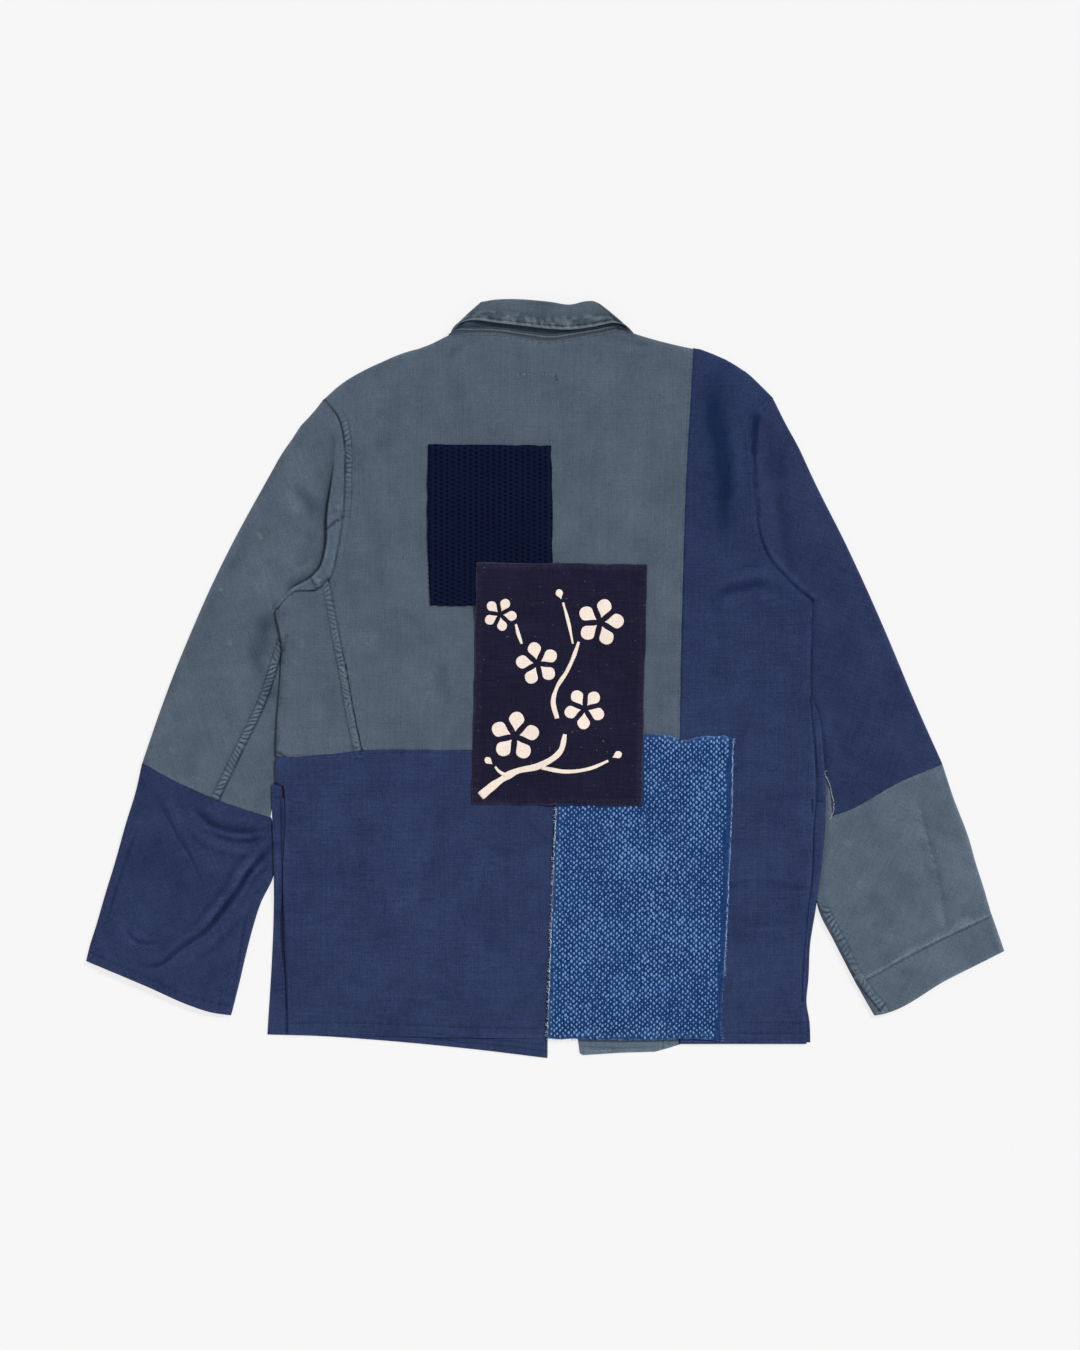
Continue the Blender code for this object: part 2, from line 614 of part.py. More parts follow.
def sleeves(collection):
    half = GAP * 0.85
    left_upper = armhole_sections(ARMHOLE_LEFT) + ring_sections(SLEEVE_LEFT_UPPER)
    left_upper.append(line_section(JOIN_LEFT, -half))
    cloth(collection, "sleeve_left_upper", left_upper, GREY_GREEN, closed=True)

    left_lower = [line_section(JOIN_LEFT, half)] + ring_sections(SLEEVE_LEFT_LOWER)
    left_lower.append(line_section(HEM_LEFT, 0))
    cloth(collection, "sleeve_left_lower", left_lower, NAVY, closed=True)

    right_upper = armhole_sections(ARMHOLE_RIGHT) + ring_sections(SLEEVE_RIGHT_UPPER)
    right_upper.append(line_section(JOIN_RIGHT, -half, ACROSS_JOIN_RIGHT))
    cloth(collection, "sleeve_right_upper", right_upper, NAVY, closed=True)

    right_lower = [line_section(JOIN_RIGHT, half, ACROSS_JOIN_RIGHT)] + ring_sections(SLEEVE_RIGHT_LOWER)
    right_lower.append(line_section(CUFF_SEAM, -half))
    cloth(collection, "sleeve_right_lower", right_lower, GREY_GREEN, closed=True)

    middle = [mix(a, b, 0.5) for a, b in zip(
        [along(CUFF_SEAM, stop) for stop in ACROSS], [along(CUFF_HEM, stop) for stop in ACROSS]
    )]
    cuff = [line_section(CUFF_SEAM, half), plain_section(middle), line_section(CUFF_HEM, 0)]
    cloth(collection, "sleeve_right_cuff", cuff, GREY_GREEN, closed=True)


# ---------------------------------------------------------------------------
# The collar
# ---------------------------------------------------------------------------


def collar(collection):
    """The stand goes from the neck seam to just short of the ridge. The leaf starts there, rolls over
    the ridge and comes back over the stand to its free edge."""
    stand, leaf = [], []
    for s in COLLAR:
        neck, ridge, free = (s.neck_x, s.neck_y), (s.ridge_x, s.ridge_y), (s.free_x, s.free_y)
        roll = hypot(s.out_x, s.out_y, s.out_z)
        start, back = moved(ridge, neck, roll), moved(ridge, free, roll)
        start = (start[0] - s.out_x, start[1] - s.out_y, s.ridge_z - s.out_z)
        back = (back[0] + s.out_x, back[1] + s.out_y, s.ridge_z + s.out_z)
        top = (*moved(start, neck, COLLAR_SEAM), start[2])
        neck, free = (*neck, s.neck_z), (*free, s.free_z)
        stand.append([neck, mix(neck, top, 0.5), top])
        leaf.append([start, (*ridge, s.ridge_z), back, mix(back, free, 0.5), free])
    cloth(collection, "collar_stand", stand, GREY_GREEN)
    cloth(collection, "collar_fall", leaf, GREY_GREEN)


# ---------------------------------------------------------------------------
# The patches
# ---------------------------------------------------------------------------


def within(corners, x, y):
    """1 inside a patch, falling to 0 a ramp's width outside it."""
    distance, side = nearest([*corners, corners[0]], x, y)
    return 1.0 if side < 0 else 1 - ramp(distance, *PATCH_RAMP)


def loose_level(x, y):
    """Where the middle of the back lies, under a patch that comes down a little later than it."""
    return back_level(x, y + PATCH_LOOSE)


def patch_rows(corners, columns, rows, level):
    top_left, top_right, low_right, low_left = corners
    return [
        row_between(mix(low_left, top_left, row), mix(low_right, top_right, row), columns, level)
        for row in rows
    ]


def patches(collection):
    top_of_back = CLOTH / 2 + GAP
    even = tuple(step / 6 for step in range(7))

    def knit_level(x, y):
        return back_level(x, y) + top_of_back + KNIT_CLOTH / 2

    def sashiko_level(x, y):
        return loose_level(x, y) + top_of_back + SASHIKO_CLOTH / 2

    def indigo_level(x, y):
        step = max(within(KNIT_PATCH, x, y), within(SASHIKO_PATCH, x, y))
        return back_level(x, y) + top_of_back + INDIGO_CLOTH / 2 + (KNIT_CLOTH + GAP) * step

    knit = patch_rows(KNIT_PATCH, even, even, knit_level)
    cloth(collection, "patch_knit", knit, DARK_KNIT, KNIT_CLOTH)
    sashiko_rows = (0, 0.03, 0.07, 0.13, 0.24, 0.36, 0.48, 0.6, 0.72, 0.86, 1)
    sashiko = patch_rows(SASHIKO_PATCH, even, sashiko_rows, sashiko_level)
    cloth(collection, "patch_sashiko", sashiko, SASHIKO_BLUE, SASHIKO_CLOTH)
    indigo = patch_rows(INDIGO_PATCH, INDIGO_COLUMNS, INDIGO_ROWS, indigo_level)
    cloth(collection, "patch_indigo", indigo, DARK_INDIGO, INDIGO_CLOTH)


def main():
    for item in list(bpy.data.objects):
        bpy.data.objects.remove(item)
    jacket = new_collection("patched_jacket")
    back_upper(jacket)
    back_lower_left(jacket)
    back_right(jacket)
    front_left_upper(jacket)
    front_left_lower(jacket)
    front_right_side(jacket)
    front_right(jacket)
    sleeves(jacket)
    collar(jacket)
    patches(jacket)


main()
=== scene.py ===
"""The looks of the patched work jacket, laid flat on its front with its back up.

Tables are in millimetres in the row frame, and meshes are written in metres. Each piece of cloth takes
its outline and its height from its CAD node: a fine mesh is laid inside the node's outline, lifted to
the node's surface, given folds, seams and puckers, and made into a thin wall with a rounded edge.
Stitches, the print, bar tacks and frayed threads are laid on the finished cloth.
"""

import json
from collections import namedtuple
from math import cos, hypot, pi, radians, sin

import bpy
import numpy as np
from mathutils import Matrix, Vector
from mathutils.bvhtree import BVHTree
from mathutils.geometry import delaunay_2d_cdt

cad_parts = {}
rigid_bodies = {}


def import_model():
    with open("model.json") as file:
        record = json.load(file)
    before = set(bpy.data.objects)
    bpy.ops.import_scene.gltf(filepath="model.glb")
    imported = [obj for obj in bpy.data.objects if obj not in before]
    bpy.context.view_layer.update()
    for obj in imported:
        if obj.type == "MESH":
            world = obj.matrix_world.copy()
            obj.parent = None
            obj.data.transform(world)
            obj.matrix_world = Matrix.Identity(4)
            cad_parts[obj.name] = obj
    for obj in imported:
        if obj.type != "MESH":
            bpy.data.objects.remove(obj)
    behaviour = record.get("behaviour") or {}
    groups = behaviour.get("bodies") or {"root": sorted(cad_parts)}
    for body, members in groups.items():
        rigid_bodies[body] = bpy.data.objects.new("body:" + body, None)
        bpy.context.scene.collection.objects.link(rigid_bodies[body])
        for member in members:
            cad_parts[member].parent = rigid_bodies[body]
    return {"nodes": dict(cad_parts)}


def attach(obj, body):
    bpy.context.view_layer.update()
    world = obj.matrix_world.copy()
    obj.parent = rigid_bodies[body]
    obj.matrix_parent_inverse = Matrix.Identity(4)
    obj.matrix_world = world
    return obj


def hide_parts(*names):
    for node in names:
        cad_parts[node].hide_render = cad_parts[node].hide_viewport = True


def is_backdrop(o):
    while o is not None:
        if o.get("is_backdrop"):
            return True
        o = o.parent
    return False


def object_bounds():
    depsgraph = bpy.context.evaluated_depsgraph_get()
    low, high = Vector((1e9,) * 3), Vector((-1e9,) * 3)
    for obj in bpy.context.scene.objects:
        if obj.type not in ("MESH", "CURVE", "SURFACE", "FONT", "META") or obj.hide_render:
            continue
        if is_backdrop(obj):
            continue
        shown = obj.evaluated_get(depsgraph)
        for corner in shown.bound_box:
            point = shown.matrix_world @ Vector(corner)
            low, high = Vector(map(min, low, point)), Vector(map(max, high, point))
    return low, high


for item in list(bpy.data.objects):
    bpy.data.objects.remove(item)
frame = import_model()
cad_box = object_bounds()

MM = 0.001
BODY = "root"

# --- Cloth ---

CLOTH = 1.2  # how thick each cloth is
KNIT_CLOTH = 1.6
SASHIKO_CLOTH = 1.6
INDIGO_CLOTH = 1.0
PRINT = 0.16  # the printed colour stands this proud of the cloth
RIM_INSET = 0.3  # the skins stop this share of the thickness inside the rounded edge
EDGE_ROLL = 1.6  # cloth turns down within about this distance of its edge
EDGE_DROP = 0.35
FLOOR_GAP = 0.05  # from the surface to the lowest cloth

FINE = 1.15  # mesh spacing along seams
PLAIN = 2.8  # on the cloth that shows
HIDDEN = 6.5  # on the fronts, under the back

# --- Lines in plan ---

# The armhole seams, from shoulder to armpit, and the edge of the sleeve's fullness beside each.
ARMHOLE_LEFT = [
    (-225, 285), (-210, 265), (-205, 244), (-204, 208), (-206, 165), (-211, 134), (-220, 102), (-233, 91),
    (-255, 89), (-274, 71),
]
PLEAT_LEFT = [
    (-232, 273), (-220, 257), (-214, 238), (-217, 204), (-222, 167), (-223, 136), (-231, 111),
    (-239, 103), (-256, 93.5), (-277, 74.5),
]
ARMHOLE_RIGHT = [
    (232, 286), (218, 269), (211, 244), (211, 208), (214, 178), (218, 148), (228, 124), (243, 106),
    (258, 91), (272, 80),
]
PLEAT_RIGHT = [
    (236, 279), (223, 264), (216, 242), (215, 207), (218, 178), (222, 150), (231, 127), (246, 109),
    (261, 94), (276, 83),
]

# The joins and hems of the sleeves, from the outer fold to the inner one.
JOIN_LEFT = [(-410, -86), (-383, -101), (-332, -124), (-281, -141)]
HEM_LEFT = [(-467, -287), (-416, -308), (-365, -331), (-341, -339), (-321, -342)]
JOIN_RIGHT = [(404, -87), (356, -107), (316, -130), (293, -143), (290, -115), (283, -95), (268, -88)]
CUFF_SEAM = [(453, -237), (410, -257), (368, -278), (323, -303), (315, -305)]
CUFF_HEM = [(467, -277), (414, -303), (343, -341), (336, -342)]

# The left side, where the front wraps round on to the back: the seam on the back, upwards.
SIDE_SEAM = [
    (-187, -73), (-193, -45), (-198, -18), (-203, 12), (-209, 42), (-214.5, 72), (-220, 102), (-233, 91),
    (-255, 89), (-274, 71),
]
WAIST_SEAM = [(-272, -79), (-224, -77), (-187, -73), (-76, -72), (137, -72)]
STRIP_SEAM = [(151, 336), (148, 285), (144, 213), (141, 106), (137, -57), (137, -372)]
NECK_SEAM = [
    (-98, 350), (-80, 353), (-66, 353.4), (-41, 352), (-16, 348), (-2, 345.7), (10, 345.7), (30, 349),
    (56, 353.4), (77, 356.4), (91, 350.4),
]

# The seams along the sleeves, the long edges of the sides, and the openings at their feet.
SLEEVE_SEAM_LEFT = [(-262, 45), (-267, 31), (-284, -21), (-308, -72), (-333, -124)]
SLEEVE_SEAM_RIGHT = [(275, -225), (297, -268), (321, -313), (341, -338)]
SIDE_LEFT = [(-271, 54), (-268, 34), (-273, -79)]
SIDE_RIGHT = [(272, 80), (271, -19), (282, -68), (285, -147), (276, -229)]
VENT_LEFT = [(-269, -123), (-268, -195), (-267, -230), (-265, -256), (-264, -311), (-263, -360)]
SLIT_RIGHT = [
    (270, -18), (273, -48), (276, -82), (277, -123), (274, -147), (273, -183), (272, -200), (268, -235),
    (265, -267), (263, -292), (262, -328),
]

# Stitching, and a crease, that more than one table uses.
CUFF_STITCH_LEFT = [(-464, -278), (-416, -299), (-366, -321), (-322, -333)]
HEM_STITCH_RIGHT = [(182, -361), (229, -361), (266, -361)]
HEM_STITCH_UPPER = [(196, -350), (229, -350), (264, -350)]
JOIN_STITCH_RIGHT = [(396, -92), (356, -112), (322, -127)]
CUFF_CREASE_RIGHT = [(382, -136), (390, -165), (397, -190), (403, -220), (407, -246)]

# The patches: corner points going round from the top left.
KNIT_PATCH = [
    (-119, 239), (6, 238), (7, 204), (7.6, 160), (6.6, 75), (-117, 75), (-119.6, 130), (-120.2, 200),
]
INDIGO_PATCH = [(-70, 119), (104, 117), (98, -129), (-75, -127)]
SASHIKO_PATCH = [
    (13, -56), (104, -55.4), (123, -56.4), (144, -62), (157, -58), (182, -57), (192, -60.5), (190.5, -128),
    (187, -201), (184.6, -269), (180.3, -315), (179.2, -369.2), (144, -367), (98, -368), (53, -367.6),
    (2, -366), (5, -260), (10.5, -130),
]

# --- Folds placed one by one ---

# How deep (below 0) or high, how wide, the line, and how much wider on the left side of the line, going
# along it, than on the right (-1 to 1).
Crease = namedtuple("Crease", "height width line lean", defaults=[0])

LEFT_SLEEVE_CREASES = [
    # the S-shaped folds that run from the inner edge to the cuff
    Crease(-1.5, 4.2, [(-275, -170), (-289, -182), (-301, -196), (-314, -217), (-335, -243), (-354, -266),
                       (-368, -281)], -0.5),
    Crease(0.9, 6.5, [(-276, -158), (-294, -176), (-308, -196), (-323, -220), (-342, -245), (-362, -266),
                      (-378, -279)], 0.3),
    Crease(-1.1, 3.4, [(-293, -186), (-308, -211), (-324, -232), (-342, -253), (-363, -268), (-373, -275),
                       (-393, -291), (-422, -292)], -0.4),
    Crease(0.6, 5.0, [(-300, -220), (-318, -243), (-335, -262), (-352, -276), (-368, -289)]),
    # the pulls under the colour join
    Crease(-1.3, 5.5, [(-368, -126), (-354, -136), (-335, -150), (-308, -155), (-279, -152)], 0.4),
    Crease(-0.7, 3.2, [(-349, -150), (-330, -160), (-308, -164), (-281, -159)]),
    Crease(0.8, 5.0, [(-372, -140), (-340, -166), (-305, -174), (-279, -164)]),
    Crease(-0.45, 2.0, [(-399, -112), (-386, -138), (-373, -162), (-360, -184), (-350, -208)], 0.3),
    Crease(0.3, 5.0, [(-392, -106), (-377, -136), (-363, -160), (-349, -184)]),
    Crease(-0.5, 2.6, [(-279, -189), (-293, -200), (-303, -212)]),
    # small folds near the cuff, and the two long edges
    Crease(-0.8, 2.4, [(-430, -253), (-416, -267), (-388, -269)], 0.4),
    Crease(-0.4, 2.0, [(-410, -137), (-434, -205), (-454, -270)]),
    Crease(-0.5, 2.2, [(-301, -230), (-305, -243), (-311, -281), (-318, -322)], 0.2),
]
LEFT_ARM_CREASES = [
    # the hollow beside the pleat, and the pulls from the armpit
    Crease(-1.3, 11, [(-224, 222), (-232, 196), (-235, 160), (-240, 126), (-252, 108), (-272, 90)]),
    Crease(-0.8, 7, [(-262, 200), (-250, 190), (-243, 178), (-236, 160)], 0.2),
    Crease(0.8, 12, [(-262, 236), (-256, 206), (-262, 170), (-268, 138)]),
    Crease(-0.6, 9, [(-292, 124), (-276, 112), (-262, 104)]),
    Crease(-0.5, 12, [(-322, 96), (-304, 60), (-298, 18)]),
    Crease(0.5, 14, [(-346, 60), (-330, 20), (-340, -30)]),
    Crease(-0.6, 8, [(-350, -40), (-330, -78), (-300, -112)]),
    Crease(-0.4, 7, [(-372, -20), (-380, -58), (-396, -84)]),
    Crease(-0.5, 9, [(-300, 170), (-310, 128), (-332, 92)]),
]
RIGHT_ARM_CREASES = [
    # the broad hollow beside the armhole
    Crease(-1.3, 13, [(226, 262), (231, 220), (236, 196), (243, 158), (252, 124), (266, 88)], 0.2),
    Crease(1.0, 15, [(252, 232), (264, 190), (272, 150), (286, 108)]),
    Crease(-0.6, 13, [(284, 170), (300, 120), (296, 70), (306, 20)]),
    Crease(-0.6, 10, [(280, 60), (286, 20), (298, -20), (318, -60)]),
    Crease(0.5, 12, [(318, 88), (322, 40), (334, -6)]),
    Crease(-0.5, 9, [(352, 20), (350, -24), (362, -60)]),
    Crease(-0.45, 6, [(292, -64), (322, -84), (352, -92)]),
    Crease(-0.5, 6, [(288, -36), (304, -60), (312, -92)]),
]
RIGHT_CUFF_CREASES = [
    Crease(-0.8, 6, [(380, -150), (386, -171), (397, -205), (407, -240)]),
    Crease(0.5, 9, [(366, -160), (376, -200), (390, -244)]),
    Crease(-0.5, 8, [(318, -158), (330, -200), (338, -248)]),
    Crease(-0.4, 7, [(414, -140), (424, -180), (428, -214)]),
    Crease(-0.45, 5, [(300, -190), (316, -214), (340, -226)]),
    Crease(-0.35, 5, [(350, -292), (372, -300), (398, -300)]),
]
BACK_CREASES = [
    # the right strip
    Crease(-0.8, 11, [(172, 330), (177, 291), (182, 244), (183, 200), (180, 140)]),
    Crease(0.6, 10, [(190, 300), (194, 240), (196, 180), (192, 120)]),
    Crease(-0.5, 5, [(206, 262), (205, 225), (207, 180)]),
    Crease(-0.5, 8, [(168, 110), (178, 50), (172, -10)]),
    Crease(-0.4, 10, [(226, 100), (232, 40), (224, -20)]),
    Crease(0.4, 12, [(200, 60), (206, 0), (200, -60)]),
    Crease(-0.5, 3.6, [(197, -125), (224, -123), (262, -122)], 0.4),
    Crease(-0.6, 2.4, [(236, -212), (255, -213), (271, -211)], 0.3),
    Crease(-0.45, 4, [(198, -245), (229, -246), (262, -243)]),
    Crease(-0.4, 6, [(206, -290), (230, -296), (256, -290)]),
    Crease(-0.35, 8, [(212, -160), (220, -196), (214, -230)]),
    # the left of the back, below the waist seam
    Crease(-0.5, 2.6, [(-263, -274), (-250, -279), (-236, -280)]),
    Crease(-0.45, 7, [(-252, -94), (-240, -130), (-244, -176)]),
    Crease(-0.4, 9, [(-214, -110), (-190, -150), (-184, -206)]),
    Crease(0.4, 12, [(-160, -120), (-140, -180), (-148, -250)]),
    Crease(-0.45, 8, [(-120, -96), (-108, -150), (-118, -214)]),
    Crease(-0.4, 7, [(-220, -300), (-170, -312), (-120, -300)]),
    Crease(-0.35, 9, [(-96, -240), (-60, -262), (-20, -300)]),
    Crease(-0.35, 6, [(-84, -150), (-40, -176), (-6, -170)]),
    # the grey-green back: very shallow
    Crease(-0.5, 10, [(-140, 310), (-160, 262), (-164, 204)]),
    Crease(-0.4, 12, [(-178, 190), (-170, 120), (-176, 50)]),
    Crease(0.35, 14, [(-150, 160), (-142, 90), (-150, 10)]),
    Crease(-0.4, 8, [(-110, 40), (-104, -20), (-112, -64)]),
    # the curved fold below the right armhole
    Crease(0.8, 6, [(184, 97), (204, 104), (220, 106), (236, 101), (250, 92)]),
    Crease(-0.7, 6, [(168, 80), (187, 91), (204, 96), (220, 98), (236, 93)]),
    Crease(-0.45, 9, [(112, 320), (106, 270), (112, 214)]),
    Crease(-0.35, 10, [(60, 220), (70, 170), (64, 126)]),
    Crease(0.35, 10, [(126, 180), (120, 110), (124, 20)]),
    Crease(-0.35, 7, [(118, 40), (114, -10), (120, -54)]),
    # small pulls from the collar
    Crease(-0.6, 4, [(64, 352), (84, 344), (112, 340)]),
    Crease(-0.45, 5, [(-62, 351), (-88, 338), (-108, 318)]),
    # the strip of the front that wraps round the left side
    Crease(-0.7, 3.4, [(-268, 34), (-262, 16), (-264, -3), (-270, -20)]),
    Crease(-0.4, 6, [(-242, 84), (-236, 50), (-240, 10)]),
    Crease(-0.35, 6, [(-226, 20), (-220, -20), (-214, -60)]),
]
FRONT_CREASES = [
    # on the fronts, which lie on the surface, so these folds rise from it
    Crease(1.0, 9, [(-30, 190), (-62, 150), (-84, 96), (-92, 40)], 0.3),
    Crease(0.9, 8, [(-20, 40), (-48, 10), (-90, -6), (-140, -2)], -0.2),
    Crease(1.1, 10, [(-200, 150), (-176, 100), (-168, 40), (-180, -20)]),
    Crease(0.8, 8, [(-230, -120), (-180, -140), (-110, -132)], 0.3),
    Crease(0.9, 10, [(-60, -110), (-72, -180), (-58, -260)]),
    Crease(0.7, 9, [(-240, -230), (-190, -252), (-130, -246), (-90, -262)], 0.2),
    Crease(1.0, 9, [(60, 200), (88, 150), (98, 90), (92, 30)], -0.3),
    Crease(0.8, 8, [(50, 20), (96, 4), (142, 8)]),
    Crease(1.1, 10, [(214, 140), (190, 96), (178, 40), (184, -30)], 0.2),
    Crease(0.8, 8, [(240, -90), (196, -110), (150, -104)]),
    Crease(0.9, 10, [(80, -90), (96, -160), (84, -236)]),
    Crease(0.7, 9, [(236, -250), (190, -236), (140, -252), (96, -246)], -0.2),
]
PATCH_CREASES = [
    Crease(-0.4, 7, [(-60, 80), (-30, 66), (10, 72)]),
    Crease(-0.35, 6, [(40, 30), (60, 0), (92, -10)]),
    Crease(0.3, 8, [(-40, -40), (0, -60), (50, -54)]),
    Crease(-0.35, 6, [(-66, -90), (-30, -104), (10, -98)]),
    Crease(-0.45, 9, [(40, -160), (80, -176), (130, -170)]),
    Crease(0.4, 12, [(60, -220), (100, -240), (150, -232)]),
    Crease(-0.45, 9, [(30, -290), (80, -300), (140, -286)]),
    Crease(-0.3, 8, [(150, -110), (160, -160), (156, -220)]),
]

# --- Dark and pale marks: painted shade and highlight along seams, folds and hollows; stains and wear ---

# How dark (below 0: how pale), how far it spreads, the line, and the side of the line that it is on
# (1 the left, going along, -1 the right, 0 both).
Shade = namedtuple("Shade", "dark width line hand", defaults=[0])

SHADES = [
    # the left armhole, the fold beside it, and the small flap and seam at the armpit
    # the dark beside the pleat and along the side's fold is painted shadow, the pale pleat edge painted
    # highlight
    Shade(2.1, 1.3, ARMHOLE_LEFT),
    Shade(-0.7, 1.5, ARMHOLE_LEFT[3:], 1),
    Shade(0.2, 2.2, PLEAT_LEFT[3:], -1),
    Shade(0.85, 9, PLEAT_LEFT[2:9], -1),
    Shade(-0.5, 1.4, PLEAT_LEFT[3:], 1),
    Shade(2.4, 1.1, [(-222, 153), (-214, 160.5), (-206, 165)]),
    Shade(1.4, 1.0, [(-238.5, 104), (-236, 98), (-232.8, 92.6)]),
    Shade(0.8, 0.8, [(-232.8, 92.6), (-229, 97), (-222, 101)]),
    Shade(0.4, 6, [(-254, 194), (-243, 184), (-233, 168)]),
    Shade(0.5, 8, [(-276, 66), (-286, 50), (-290, 30)]),
    Shade(0.9, 5, SIDE_LEFT, -1),
    Shade(0.75, 9, [(-284, 56), (-286, 38), (-294, 22), (-287, 2), (-278, -14)]),
    Shade(0.5, 5, [(-300, 30), (-294, 18), (-290, 4)]),
    Shade(0.8, 3, [(-270, 40), (-266, 30), (-268, 18)]),
    # the right armhole, its slits, and painted shade in the hollow beside it, the folds below and along the
    # side
    Shade(0.9, 1.0, ARMHOLE_RIGHT),
    Shade(1.3, 1.2, ARMHOLE_RIGHT[5:]),
    Shade(0.5, 4, ARMHOLE_RIGHT[3:], 1),
    Shade(0.7, 0.9, [(229, 287), (216, 277), (206, 262), (203, 246), (204, 232)]),
    Shade(0.5, 0.9, [(226, 290), (213, 280), (202, 265), (198, 250)]),
    Shade(0.65, 6, [(238, 232), (241, 205), (242, 175), (245, 140), (251, 112)]),
    Shade(0.45, 4, [(226, 262), (230, 236), (228, 210)]),
    Shade(3.4, 3.4, [(215, 266), (213.5, 250), (213, 232)]),
    Shade(1.8, 2.2, [(213, 232), (214.5, 212), (216, 196)]),
    Shade(1.4, 1.4, [(218, 184), (218.5, 174), (219, 166)]),
    Shade(0.45, 5.5, [(170, 81), (187, 91), (204, 97), (219, 99), (234, 95), (250, 85)]),
    Shade(0.8, 4, SIDE_RIGHT, 1),
    Shade(1.4, 1.0, SIDE_RIGHT[:2]),
    Shade(0.5, 0.8, [(266, 20), (268, -4), (270, -18)]),
    # long seams, darkened with painted shade in their creases; by the cuff seam, painted shadow and highlight
    Shade(1.6, 1.1, SIDE_SEAM[:7]),
    Shade(1.6, 1.1, SLEEVE_SEAM_LEFT),
    Shade(1.5, 1.1, SLEEVE_SEAM_RIGHT),
    Shade(1.2, 1.1, WAIST_SEAM),
    Shade(1.7, 1.1, STRIP_SEAM),
    Shade(1.3, 1.6, NECK_SEAM),
    Shade(1.0, 1.2, JOIN_LEFT),
    Shade(0.5, 5, JOIN_LEFT, -1),
    Shade(0.9, 1.2, JOIN_RIGHT[:4]),
    Shade(0.8, 1.1, CUFF_SEAM[:4]),
    Shade(0.9, 1.1, [(453, -242.5), (410, -262.5), (368, -283.5), (329, -306)]),
    Shade(-0.6, 1.4, [(453, -239.5), (410, -259.5), (368, -280.5), (326, -304)]),
    # the folds of the left cuff: painted shade in them, and painted highlight on one fold's ridge
    Shade(1.0, 3.6, [(-276, -168), (-290, -182), (-305, -201), (-322, -224), (-338, -246)]),
    Shade(0.7, 2.0, [(-301, -194), (-314, -212), (-330, -234), (-351, -259), (-372, -277), (-392, -290),
                     (-414, -290)]),
    Shade(0.6, 3.2, [(-352, -140), (-332, -151), (-306, -156), (-279, -152)]),
    Shade(0.5, 2.2, [(-334, -160), (-308, -165), (-280, -160)]),
    Shade(0.4, 1.3, [(-392, -118), (-376, -150), (-362, -176), (-350, -204)]),
    Shade(-0.7, 3.0, [(-296, -180), (-312, -202), (-328, -226), (-346, -248)]),
    # the crease down the right cuff: painted shade on one side of it, painted highlight on the other
    Shade(0.6, 6.0, CUFF_CREASE_RIGHT, 1),
    Shade(-0.45, 7.0, CUFF_CREASE_RIGHT, -1),
    # hems and edge seams
    Shade(0.5, 0.9, CUFF_STITCH_LEFT),
    Shade(0.6, 1.0, [(-294, -216), (-303, -240), (-311, -281), (-319, -326)]),
    Shade(0.4, 0.9, [(-266, -351), (-205, -350), (-146, -352), (-67, -355), (2, -356)]),
    Shade(0.5, 0.9, HEM_STITCH_RIGHT),
    Shade(0.3, 0.9, HEM_STITCH_UPPER),
    Shade(0.9, 0.9, [(-150, -362), (-71, -371), (-30, -375), (1, -379)]),
    Shade(0.9, 0.9, [(-110, -362), (-60, -367), (0, -373)]),
    Shade(0.8, 1.0, [(36, -374), (75, -376), (112, -374)]),
    Shade(1.3, 0.8, [(120, -369), (120, -376)]),
    # the strip at the left side, below the waist
    Shade(2.0, 1.1, VENT_LEFT),
    Shade(1.2, 1.1, [(-279, -108), (-274, -107.5), (-268, -108)]),
    Shade(0.9, 1.0, [(-277, -121), (-268, -121)]),
    Shade(1.0, 1.0, [(-281, -314), (-273, -312), (-264, -310)]),
    Shade(1.0, 1.0, [(-280, -319), (-272, -317), (-264, -315.5)]),
    Shade(0.6, 1.2, [(-263, -84), (-265, -94), (-267, -107)]),
    # the slit at the right side, and a crease across the strip with painted shade and, just above, painted
    # highlight
    Shade(2.2, 1.2, SLIT_RIGHT),
    Shade(1.0, 1.2, [(274, -20), (282, -46), (286, -84), (287, -118)]),
    Shade(1.1, 1.0, [(277, -124), (286, -124)]),
    Shade(1.0, 1.0, [(262, -328), (267, -328)]),
    Shade(1.0, 1.0, [(262, -333), (267, -333)]),
    Shade(0.7, 1.2, [(238, -212), (255, -213), (270, -211)]),
    Shade(0.75, 2.6, [(188, -209), (206, -206), (222, -205), (238, -207), (256, -211)]),
    Shade(-0.5, 3.0, [(188, -206), (206, -203), (222, -202), (238, -204)], 1),
    # creases beside the woven patch, on the navy: painted shade
    Shade(0.6, 2.0, [(-22, -142), (-10, -152), (2, -166)]),
    Shade(0.6, 2.0, [(-30, -330), (-16, -322), (0, -304)]),
    Shade(0.4, 2.4, [(-24, -316), (-12, -306), (0, -290)]),
    Shade(0.5, 2.4, [(192, -92), (206, -86), (226, -88)]),
    Shade(0.3, 3.5, [(198, -120), (224, -122), (258, -120)]),
    Shade(0.3, 4.0, [(200, -246), (229, -248), (262, -245)]),
]
